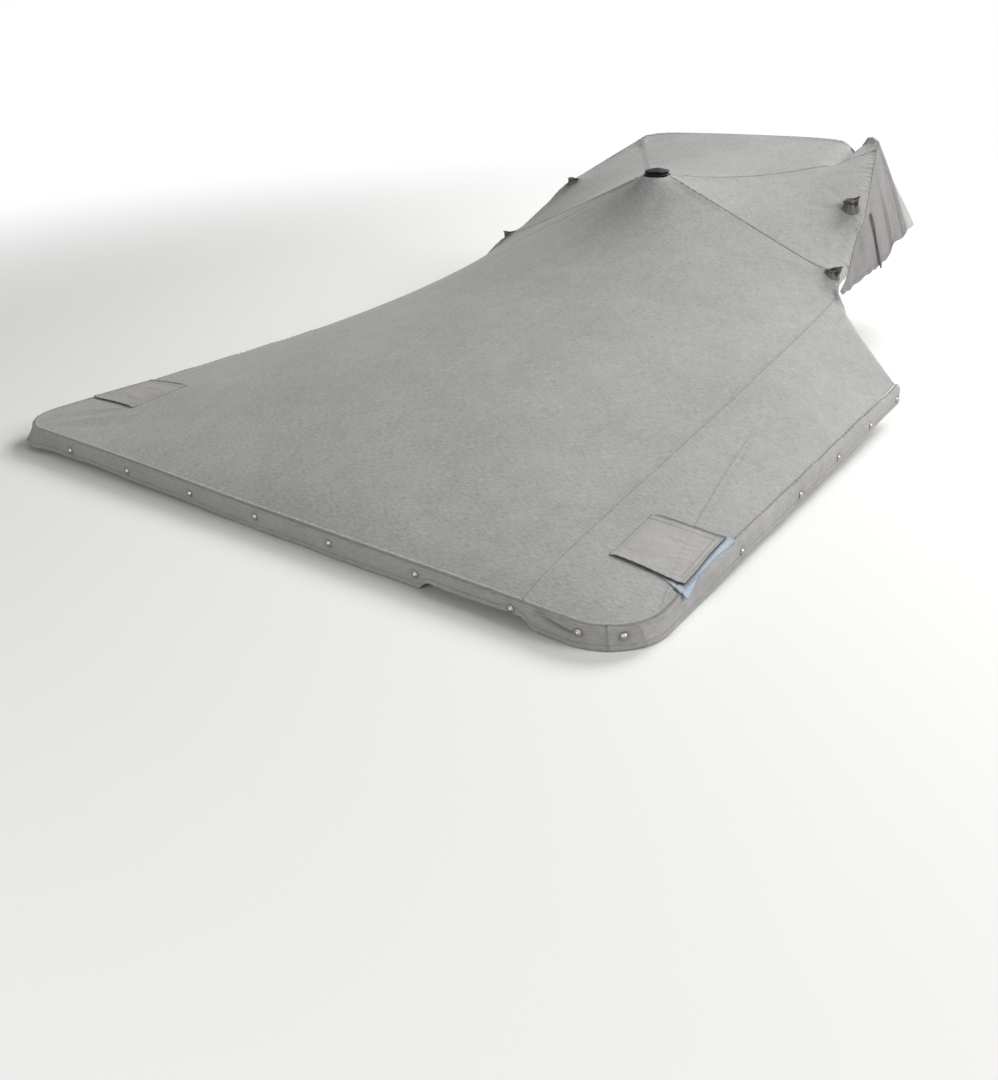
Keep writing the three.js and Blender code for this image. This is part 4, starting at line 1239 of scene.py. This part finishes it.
def close_axis(mesh, gap):
    """Joins the points of a turned mesh that meet on its axis, and faces it outwards."""
    shape = bmesh.new()
    shape.from_mesh(mesh)
    bmesh.ops.remove_doubles(shape, verts=shape.verts, dist=gap)
    bmesh.ops.recalc_face_normals(shape, faces=shape.faces)
    shape.to_mesh(mesh)
    shape.free()


def make_vent(material):
    made = []
    for name, profile, sides in (("vent_base", VENT_BASE, 48), ("vent_cap", VENT_CAP, 8)):
        points = turned(profile, sides) + VENT
        obj = make_grid(name + "_moulding", points, material, points[..., :2], closed=True)
        close_axis(obj.data, 1e-5)
        made.append(obj)
    base, cap = made
    edge = cap.modifiers.new("Edges", "BEVEL")
    edge.width = 0.0012
    edge.segments = 2
    edge.angle_limit = math.radians(20)
    cap.data.polygons.foreach_set("use_smooth", np.zeros(len(cap.data.polygons), bool))
    bake_modifiers(cap)
    finish_piece(base, "vent_plastic", "vent_base")
    finish_piece(cap, "vent_plastic", "vent_cap")


# ---- Geometry Nodes: studs and stitches ----
def node(tree, kind, inputs=None, **settings):
    """Adds a node; an input is given a value, or another node's output socket to link from."""
    made = tree.nodes.new(kind)
    for key, value in settings.items():
        setattr(made, key, value)
    for key, value in (inputs or {}).items():
        socket = made.inputs[key]
        if isinstance(value, bpy.types.NodeSocket):
            tree.links.new(value, socket)
        else:
            socket.default_value = value
    return made


def new_tree(name, inputs):
    """A geometry tree with its named inputs, and the nodes at its two ends."""
    tree = bpy.data.node_groups.new(name, "GeometryNodeTree")
    tree.interface.new_socket("Geometry", in_out="INPUT", socket_type="NodeSocketGeometry")
    for label, kind in inputs:
        tree.interface.new_socket(label, in_out="INPUT", socket_type=kind)
    tree.interface.new_socket("Geometry", in_out="OUTPUT", socket_type="NodeSocketGeometry")
    return tree, node(tree, "NodeGroupInput")


def close_tree(tree, geometry, material):
    real = node(tree, "GeometryNodeRealizeInstances", {"Geometry": geometry})
    given = {"Geometry": real.outputs[0], "Material": material}
    done = node(tree, "GeometryNodeSetMaterial", given)
    node(tree, "NodeGroupOutput", {"Geometry": done.outputs[0]})


def run_tree(obj, tree, **values):
    """Runs a tree on an object with its inputs set, and keeps the result as plain mesh."""
    modifier = obj.modifiers.new(tree.name, "NODES")
    modifier.node_group = tree
    for item in tree.interface.items_tree:
        if item.in_out == "INPUT" and item.name in values:
            modifier[item.identifier] = values[item.name]
    return bake_modifiers(obj)


@cache
def stitch_tree():
    """Lays a short stretched bead of thread at every pitch along each edge line of the mesh."""
    tree, given = new_tree("Stitch rows", (
        ("Pitch", "NodeSocketFloat"), ("Length", "NodeSocketFloat"),
        ("Thread", "NodeSocketFloat"), ("Material", "NodeSocketMaterial"),
    ))
    given = given.outputs
    line = node(tree, "GeometryNodeMeshToCurve", {"Mesh": given["Geometry"]})
    even = node(tree, "GeometryNodeResampleCurve", {"Curve": line.outputs[0]}, mode="LENGTH")
    tree.links.new(given["Pitch"], even.inputs["Length"])
    tangent = node(tree, "GeometryNodeInputTangent").outputs[0]
    turn = node(tree, "FunctionNodeAlignEulerToVector", {"Vector": tangent}, axis="X")
    bead = node(tree, "GeometryNodeMeshIcoSphere", {"Radius": 0.5, "Subdivisions": 1})
    size = {"X": given["Length"], "Y": given["Thread"], "Z": given["Thread"]}
    size = node(tree, "ShaderNodeCombineXYZ", size)
    placed = node(tree, "GeometryNodeInstanceOnPoints", {
        "Points": even.outputs[0], "Instance": bead.outputs[0],
        "Rotation": turn.outputs[0], "Scale": size.outputs[0],
    })
    close_tree(tree, placed.outputs[0], given["Material"])
    return tree


def stud_tree():
    """Sets a press stud on every point, its face turned along the stored direction."""
    tree, given = new_tree("Press studs", (
        ("Radius", "NodeSocketFloat"), ("Stud", "NodeSocketObject"),
        ("Material", "NodeSocketMaterial"),
    ))
    given = given.outputs
    outward = node(
        tree, "GeometryNodeInputNamedAttribute", {"Name": "outward"}, data_type="FLOAT_VECTOR"
    ).outputs[0]
    turn = node(tree, "FunctionNodeAlignEulerToVector", {"Vector": outward}, axis="Z")
    shape = node(tree, "GeometryNodeObjectInfo", {"Object": given["Stud"]})
    placed = node(tree, "GeometryNodeInstanceOnPoints", {
        "Points": given["Geometry"], "Instance": shape.outputs["Geometry"],
        "Rotation": turn.outputs[0], "Scale": given["Radius"],
    })
    close_tree(tree, placed.outputs[0], given["Material"])
    return tree


STUD_CAP = (
    (0, -0.1), (0.92, -0.1), (1.02, 0.05), (1.02, 0.20), (0.95, 0.28), (0.86, 0.24), (0.78, 0.30),
    (0.64, 0.52), (0.44, 0.68), (0.22, 0.76), (0, 0.78),
)


def make_studs(material):
    """Spun caps of the press studs: a rolled rim, a shallow ring and a domed middle."""
    points = turned(STUD_CAP, 24)
    faces = grid_faces(*points.shape[:2], closed=True)
    mesh = bpy.data.meshes.new("stud_cap")
    mesh.from_pydata(points.reshape(-1, 3).tolist(), [], faces.tolist())
    close_axis(mesh, 1e-4)
    mesh.polygons.foreach_set("use_smooth", np.ones(len(mesh.polygons), bool))
    cap = bpy.data.objects.new("stud_cap", mesh)
    distance = np.array(stud_places())
    lift = BAND_OFF + band_relief(distance, 0 * distance) + 0.5
    points = edge_place(distance, face_down(distance, 0), lift)
    studs = make_object("press_studs", points, [], material)
    _, _, nx, ny = hem(distance)
    outward = np.stack([nx, ny, 0.06 + 0 * nx], -1).astype(np.float32)
    layer = studs.data.attributes.new("outward", "FLOAT_VECTOR", "POINT")
    layer.data.foreach_set("vector", outward.ravel())
    run_tree(studs, stud_tree(), Radius=cover().stud_radius, Stud=cap, Material=material)
    bpy.data.objects.remove(cap)
    nodes = [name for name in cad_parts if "_stud_" in name]
    finish_piece(studs, "stud_metal", *nodes)


def on_top(line):
    """A line in plan laid on the sewn top."""
    return np.column_stack([line, top_height(*line.T) + 0.7])


def beside(line, offset):
    """A line in plan moved to its left, evenly divided."""
    line = spaced(line, STITCH_STEP)
    return line - rightward(line) * offset


def stitch_run():
    """Distances round the hem for a row of stitches, from one forward end to the other."""
    return np.arange(-HEM_END + 4, HEM_END - 4, STITCH_STEP)


def top_stitch_rows():
    rows = []
    outline = top_outline(8)
    for line in seam_lines().values():
        for offset in STITCH_LINES:
            row = beside(line, offset)
            row = row[inside(*row.T, outline)]
            hidden = np.hypot(row[:, 0] - VENT[0], row[:, 1] - VENT[1]) < VENT_COVERS
            for leg in LEGS:
                hidden |= leg_gap(leg, *row.T) < leg.foot + 6
            rows.append(on_top(row[~hidden]))
    for _, s in SIDES:
        for edge in tuck_edges(s):
            rows.append(on_top(edge[4:-24]))
    distance = stitch_run()
    distance = distance[np.abs(distance) > on_side(EDGE_CHANGE[1])]
    x, y, nx, ny = hem(distance)
    rows.append(on_top(np.stack([x - nx * HEM_STITCH, y - ny * HEM_STITCH], -1)))
    return rows


def up_the_band(at):
    """A row of places from the band's upper edge to its lower one."""
    start, end = sewn_at(at) + 3, face_down(at, band_low(at)) - 4
    down = start + (end - start) * np.linspace(0, 1, len(at))
    return edge_place(at, down, 3.0 + band_relief(at, face_start(at) - down))


def band_stitch_rows():
    rows = []
    distance = stitch_run()
    top = sewn_at(distance) - BAND_LAP
    low = face_down(distance, band_low(distance))
    for down, rise in ((top + 5, 3.0), (top + 10, 3.0), (low - 9.5, 4.0)):
        relief = band_relief(distance, face_start(distance) - down)
        rows.append(edge_place(distance, down, rise + relief))
    for corner in CORNER_SEAMS:
        for s in (-1, 1):
            for offset in (-5, 5) if corner == CORNER_SEAMS[0] else (-11, -5, 5, 11):
                at = s * on_corner(corner) + offset + np.zeros(11)
                if corner == CORNER_SEAMS[1]:
                    at = leaning(at, np.linspace(0, 1, 11))
                rows.append(up_the_band(at))
    rows += [up_the_band(np.full(9, BAND_JOIN + offset)) for offset in (-5, 5)]
    return rows


def make_stitches(name, rows, material, slot):
    """Turns rows of places into lines and lays the thread along them."""
    edges, start = [], 0
    for row in rows:
        gaps = np.linalg.norm(np.diff(row, axis=0), axis=1)
        edges += [(start + i, start + i + 1) for i in range(len(row) - 1) if gaps[i] < 25]
        start += len(row)
    obj = make_object(name, np.concatenate(rows), [], material, edges=edges)
    run_tree(
        obj, stitch_tree(), Pitch=cover().stitch_pitch, Length=cover().stitch_length,
        Thread=cover().thread, Material=material,
    )
    finish_piece(obj, slot)


# ---- materials ----
def noise(tree, place, scale, detail, roughness=0.5, distortion=0.0):
    return node(tree, "ShaderNodeTexNoise", {
        "Vector": place, "Scale": scale, "Detail": detail,
        "Roughness": roughness, "Distortion": distortion,
    }).outputs[0]


def maths(tree, operation, a, b):
    return node(tree, "ShaderNodeMath", {0: a, 1: b}, operation=operation).outputs[0]


def spread(tree, value, low, high, start=0.0, end=1.0):
    """Maps a value that runs from start to end onto low to high."""
    return node(tree, "ShaderNodeMapRange", {
        "Value": value, "From Min": start, "From Max": end, "To Min": low, "To Max": high,
    }).outputs[0]


def mixed(tree, share, a, b):
    """A colour between two colours."""
    return node(tree, "ShaderNodeMix", {0: share, 6: a, 7: b}, data_type="RGBA").outputs[2]


def bumped(tree, height, strength, distance):
    given = {"Height": height, "Strength": strength, "Distance": distance}
    return node(tree, "ShaderNodeBump", given).outputs[0]


def surface(tree, **inputs):
    """The surface shader, with inputs named by their words joined with underscores."""
    given = {key.replace("_", " "): value for key, value in inputs.items()}
    shader = node(tree, "ShaderNodeBsdfPrincipled", given).outputs[0]
    return node(tree, "ShaderNodeOutputMaterial", {"Surface": shader})


def object_place(tree):
    return node(tree, "ShaderNodeTexCoord").outputs["Object"]


def woven(tree, base, slubs=1.0, mottle=1.0, dirt=1.0, seam_depth=0.62):
    """Plain-woven cloth of spun yarn. Thick places in the weft show as short pale and dark
    flecks about 18 mm long and 4 mm wide; weathering leaves broad soft blotches; dust and
    grit leave small specks. The seam attribute darkens the cloth with painted shade: painted
    shadows at the edges of seams, tucks, flaps and the hem band, round the studs, under the
    pleat and at the boots, where it also darkens the tie and the cuff. The yarn is 0.5 mm, too
    fine to show, so its grain is drawn at about 3 mm."""
    place = node(tree, "ShaderNodeUVMap", uv_map="cloth").outputs[0]

    def stretched(x, y):
        return node(tree, "ShaderNodeMapping", {"Vector": place, "Scale": (x, y, 1)}).outputs[0]

    along = 1 / cover().slub_length
    flecks = noise(tree, stretched(along, along * 5.0), 1.0, 3.0, 0.6, 0.35)
    grain = noise(tree, stretched(300, 110), 1.0, 2.0, 0.6)
    blotch = noise(tree, place, 3.2, 4.0, 0.55)
    faint = noise(tree, place, 17.0, 3.0, 0.6)
    # The seam attribute holds mostly painted shade, and the colour is darkened by it.
    seam = node(tree, "ShaderNodeAttribute", attribute_name="seam").outputs["Fac"]
    shadow = maths(tree, "ADD", maths(tree, "MULTIPLY", seam, -seam_depth), 1.0)
    level = maths(tree, "MAXIMUM", shadow, 0.05)
    yarn, weather = ((flecks, 0.2), (grain, 0.09)), ((blotch, 0.08), (faint, 0.05))
    for parts, strength in ((yarn, slubs), (weather, mottle)):
        for value, amount in parts:
            low, high = 1 - amount * strength, 1 + amount * strength
            level = maths(tree, "MULTIPLY", level, spread(tree, value, low, high, 0.3, 0.7))
    clean = node(tree, "ShaderNodeVectorMath", {0: base[:3], "Scale": level}, operation="SCALE")
    grit = node(tree, "ShaderNodeTexVoronoi", {"Vector": place, "Scale": 26.0, "Randomness": 1.0})
    chance = node(tree, "ShaderNodeSeparateColor", {"Color": grit.outputs["Color"]}).outputs[0]
    size = spread(tree, chance, 0.0, 0.055, 0.93, 1.0)
    speck = maths(tree, "LESS_THAN", grit.outputs["Distance"], size)
    speck = maths(tree, "MULTIPLY", speck, 0.55 * dirt)
    surface(
        tree,
        Base_Color=mixed(tree, speck, clean.outputs[0], linear("55534f")),
        Normal=bumped(tree, maths(tree, "ADD", flecks, grain), 0.35, 0.0005),
        Roughness=spread(tree, blotch, 0.88, 0.97, 0.3, 0.7),
        Sheen_Weight=0.12, Sheen_Roughness=0.5, Specular_IOR_Level=0.25,
    )


def moulded_plastic(tree, base):
    """Black moulded nylon: a soft low gloss with a fine spark-eroded grain and pale dust."""
    place = object_place(tree)
    dust = noise(tree, place, 60.0, 4.0)
    surface(
        tree,
        Base_Color=mixed(tree, spread(tree, dust, 0.0, 0.03, 0.45, 0.8), base, linear("8c8c8a")),
        Normal=bumped(tree, noise(tree, place, 900.0, 3.0), 0.25, 0.0004),
        Roughness=spread(tree, dust, 0.45, 0.7), Specular_IOR_Level=0.12,
    )


def nickel_plate(tree, base):
    """Nickel-plated brass, dulled by weather, with fine handling scratches."""
    wear = noise(tree, object_place(tree), 700.0, 4.0)
    surface(
        tree, Base_Color=mixed(tree, wear, base, linear("a8a39a")),
        Roughness=spread(tree, wear, 0.22, 0.42), Metallic=1.0,
    )


def sewing_thread(tree, base):
    """Twisted polyester thread, faded to about the colour of the cloth."""
    fade = noise(tree, object_place(tree), 40.0, 3.0)
    surface(tree, Base_Color=mixed(tree, fade, base, linear("a9a7a3")), Roughness=0.7)


def painted_floor(tree, base):
    """Plain pale matt floor that runs out into the white backdrop a few metres away."""
    output = surface(tree, Base_Color=base, Roughness=0.95, Specular_IOR_Level=0.1)
    paint = output.inputs["Surface"].links[0].from_socket
    away = node(tree, "ShaderNodeVectorMath", {0: object_place(tree)}, operation="LENGTH")
    far = node(
        tree, "ShaderNodeMapRange",
        {"Value": away.outputs["Value"], "From Min": 2.6, "From Max": 6.0},
        interpolation_type="SMOOTHSTEP",
    )
    seen = node(tree, "ShaderNodeLightPath").outputs["Is Camera Ray"]
    fade = maths(tree, "MULTIPLY", far.outputs[0], seen)
    white = node(tree, "ShaderNodeEmission", {"Color": (1, 1, 1, 1), "Strength": 1.0})
    either = node(tree, "ShaderNodeMixShader", {0: fade, 1: paint, 2: white.outputs[0]})
    tree.links.new(either.outputs[0], output.inputs["Surface"])


# Each colour's material: its name, what makes it, and what sets one cloth apart from another.
MATERIALS = {
    "canvas": ("weathered_acrylic_canvas", woven, {}),
    "wing": ("wing_acrylic_canvas", woven, {"mottle": 1.6, "dirt": 1.4}),
    "flap": ("flap_canvas", woven, {"slubs": 0.55, "mottle": 1.2}),
    "band": ("stern_band_canvas", woven, {"slubs": 0.6, "mottle": 0.8}),
    "side_band": ("side_band_canvas", woven, {"slubs": 0.6, "mottle": 1.5}),
    "boot": ("boot_canvas", woven, {"slubs": 0.7, "mottle": 1.8, "dirt": 2.0}),
    "webbing": ("polyester_webbing", woven, {"slubs": 0.8}),
    "patch": ("pale_blue_cloth", woven, {"slubs": 0.5, "seam_depth": 0.35}),
    "plastic": ("black_moulded_nylon", moulded_plastic, {}),
    "nickel": ("nickel_plated_brass", nickel_plate, {}),
    "thread": ("polyester_thread", sewing_thread, {}),
    "floor": ("plain_floor", painted_floor, {}),
}


@cache
def material(key):
    name, make, settings = MATERIALS[key]
    made = bpy.data.materials.new(name)
    made.use_nodes = True
    made.node_tree.nodes.clear()
    make(made.node_tree, getattr(bpy.context.scene.cover_colours, key), **settings)
    return made


# ---- stage ----
CAMERA_AT = (2.187, -3.6457, 0.6038)
# Rows of the camera's own right, down and forward directions.
CAMERA_AXES = (
    (0.7836077, 0.62056986, -0.02918927),
    (0.24925377, -0.35708058, -0.90020332),
    (-0.56906197, 0.69813072, -0.43449047),
)
LENS = 37.67
Lamp = namedtuple("Lamp", "name x y z size power")
FLOOR_REACH = 30.0               # metres, each way
FLOOR_GAP = 3.0                  # mm, from the band's lower edge down to the floor
BACKDROP = 0.20                  # strength of the light from all round
LAMPS = (
    Lamp("bow_softbox", 1.2, 6.4, 5.2, 5.0, 730),
    Lamp("starboard_softbox", 5.5, 0.0, 3.0, 3.0, 205),
    Lamp("stern_softbox", 1.0, -6.5, 1.2, 3.0, 78),
)


def make_stage(floor_material):
    low = (-BAND_TOP - FLOOR_GAP - SEAT[2]) / 1000
    a, b = -FLOOR_REACH, FLOOR_REACH
    corners = [(x, y, low) for x, y in ((a, a), (b, a), (b, b), (a, b))]
    mesh = bpy.data.meshes.new("plain_floor")
    mesh.from_pydata(corners, [], [(0, 1, 2, 3)])
    mesh.materials.append(floor_material)
    add_object("plain_floor", mesh)
    for lamp in LAMPS:
        light = bpy.data.lights.new(lamp.name, "AREA")
        light.shape = "DISK"
        light.size = lamp.size
        light.energy = lamp.power
        holder = add_object(lamp.name, light)
        holder.location = (lamp.x, lamp.y, lamp.z)
        holder.rotation_euler = (-Vector(holder.location)).to_track_quat("-Z", "Y").to_euler()
    world = bpy.data.worlds.new("studio")
    world.use_nodes = True
    tree = world.node_tree
    tree.nodes.clear()
    path = node(tree, "ShaderNodeLightPath").outputs
    seen = maths(tree, "MAXIMUM", path["Is Camera Ray"], path["Is Glossy Ray"])
    seen = maths(tree, "MAXIMUM", seen, path["Is Transmission Ray"])
    plain, white = (
        node(tree, "ShaderNodeBackground", {"Color": (1, 1, 1, 1), "Strength": strength}).outputs[0]
        for strength in (BACKDROP, 1.0)
    )
    either = node(tree, "ShaderNodeMixShader", {0: seen, 1: plain, 2: white})
    node(tree, "ShaderNodeOutputWorld", {"Surface": either.outputs[0]})
    bpy.context.scene.world = world
    data = bpy.data.cameras.new("camera")
    data.lens = LENS
    data.sensor_width = 36
    data.clip_end = 200
    camera = add_object("camera", data)
    right, down, forward = (Vector(row) for row in CAMERA_AXES)
    turn = Matrix((right, -down, -forward)).transposed()
    camera.matrix_world = Matrix.Translation(CAMERA_AT) @ turn.to_4x4()
    bpy.context.scene.camera = camera
    bpy.context.scene.view_settings.view_transform = "Standard"


# ---- operators ----
class COVER_OT_stage(bpy.types.Operator):
    """Lays the floor and sets up the lamps and the camera"""

    bl_idname = "cover.stage"
    bl_label = "Stage"

    def execute(self, context):
        make_stage(material("floor"))
        return {"FINISHED"}


class COVER_OT_top(bpy.types.Operator):
    """Makes the five canvas panels of the top"""

    bl_idname = "cover.top"
    bl_label = "Top panels"

    def execute(self, context):
        make_top(material("canvas"))
        return {"FINISHED"}


class COVER_OT_wings(bpy.types.Operator):
    """Makes the windscreen wings, their straps and the front panel"""

    bl_idname = "cover.wings"
    bl_label = "Wings and front"

    def execute(self, context):
        for make, cloth in ((make_wing, "wing"), (make_strap, "webbing")):
            for side, s in SIDES:
                make(side, s, material(cloth))
        make_front(material("canvas"))
        return {"FINISHED"}


class COVER_OT_bands(bpy.types.Operator):
    """Makes the hem band in its five lengths"""

    bl_idname = "cover.bands"
    bl_label = "Hem bands"

    def execute(self, context):
        make_bands(material("band"), material("side_band"))
        return {"FINISHED"}


class COVER_OT_flaps(bpy.types.Operator):
    """Makes the loose flaps on the aft corners and the blue cloth under one"""

    bl_idname = "cover.flaps"
    bl_label = "Flaps"

    def execute(self, context):
        for side, s in SIDES:
            make_flap(side, s, material("flap"))
        make_patch(material("patch"))
        return {"FINISHED"}


class COVER_OT_boots(bpy.types.Operator):
    """Makes the gathered boots round the frame legs"""

    bl_idname = "cover.boots"
    bl_label = "Boots"

    def execute(self, context):
        for leg in LEGS:
            for side, s in SIDES:
                make_boot(side, s, leg, material("boot"))
        return {"FINISHED"}


class COVER_OT_vent(bpy.types.Operator):
    """Makes the vent's base and cap"""

    bl_idname = "cover.vent"
    bl_label = "Vent"

    def execute(self, context):
        make_vent(material("plastic"))
        return {"FINISHED"}


class COVER_OT_studs(bpy.types.Operator):
    """Sets the press studs round the hem band"""

    bl_idname = "cover.studs"
    bl_label = "Press studs"

    def execute(self, context):
        make_studs(material("nickel"))
        return {"FINISHED"}


class COVER_OT_stitches(bpy.types.Operator):
    """Lays the rows of stitching on the seams and hems"""

    bl_idname = "cover.stitches"
    bl_label = "Stitches"

    def execute(self, context):
        thread = material("thread")
        make_stitches("top_stitches", top_stitch_rows(), thread, "canvas")
        make_stitches("band_stitches", band_stitch_rows(), thread, "band_canvas")
        return {"FINISHED"}


class COVER_PT_panel(bpy.types.Panel):
    """Lists the cover's sizes, colours and pieces"""

    bl_idname = "COVER_PT_panel"
    bl_label = "Cockpit cover"
    bl_space_type = "VIEW_3D"
    bl_region_type = "UI"
    bl_category = "Cover"

    def draw(self, context):
        for group in (context.scene.cover_sizes, context.scene.cover_colours):
            box = self.layout.box()
            for key in group.__annotations__:
                box.prop(group, key)
        for operator in OPERATORS:
            self.layout.operator(operator.bl_idname)


OPERATORS = (
    COVER_OT_stage, COVER_OT_top, COVER_OT_wings, COVER_OT_bands, COVER_OT_flaps,
    COVER_OT_boots, COVER_OT_vent, COVER_OT_studs, COVER_OT_stitches,
)
CLASSES = (CoverSizes, CoverColours, *OPERATORS, COVER_PT_panel)


def register():
    for item in CLASSES:
        bpy.utils.register_class(item)
    bpy.types.Scene.cover_sizes = PointerProperty(type=CoverSizes)
    bpy.types.Scene.cover_colours = PointerProperty(type=CoverColours)


def unregister():
    del bpy.types.Scene.cover_colours
    del bpy.types.Scene.cover_sizes
    for item in reversed(CLASSES):
        bpy.utils.unregister_class(item)


# ---- what each sheet is cut from ----
def declare_sheets():
    """Builds a list of the flat size of every cloth in metres, its flat area, what holds it and
    what it lies on; the list is not used further."""
    vent, aft, outboard = "vent_base_moulding", "aft_panel_cloth", "starboard_side_panel_cloth"
    sheets = [
        (aft, (2.03, 2.10), 3.8, "stretched", [vent]),
        (outboard, (0.36, 1.98), 0.55, "stretched", [aft]),
        ("starboard_roof_side_panel_cloth", (0.78, 0.86), 0.30, "stretched", [vent, aft]),
        ("port_roof_side_panel_cloth", (0.78, 0.86), 0.30, "stretched", [vent, aft]),
        ("roof_front_panel_cloth", (1.06, 0.82), 0.45, "stretched", [vent]),
        ("front_panel_cloth", (1.75, 0.45), 0.59, "hung", ["roof_front_panel_cloth"]),
        ("stern_band_cloth", (2.18, 0.062), None, "hung", [aft]),
        ("starboard_flap_under_patch_cloth", (0.20, 0.25), 0.045, "laid", [outboard]),
    ]
    flaps_and_boots = {
        "starboard": ((0.21, 0.22), 0.044, (0.18, 0.055)),
        "port": ((0.27, 0.22), 0.056, (0.18, 0.045)),
    }
    for side, (flap, flap_area, boot) in flaps_and_boots.items():
        roof = side + "_roof_side_panel_cloth"
        wing = side + "_wing_panel_cloth"
        sheets += [
            (wing, (0.84, 0.34), 0.17, "hung", [roof]),
            (side + "_wing_strap_webbing", (0.018, 0.24), None, "hung", [wing]),
            (side + "_corner_band_cloth", (0.083, 0.062), None, "hung", [aft]),
            (side + "_side_band_cloth", (1.67, 0.068), None, "hung", [aft]),
            (side + "_flap_cloth", flap, flap_area, "laid", [aft]),
        ]
        for leg in LEGS:
            sheets.append((f"{side}_{leg.name}_boot_cloth", boot, None, "gathered", [roof]))


def main():
    register()
    for operator in OPERATORS:
        group, name = operator.bl_idname.split(".")
        getattr(getattr(bpy.ops, group), name)()
    declare_sheets()


if __name__ == "__main__":
    main()
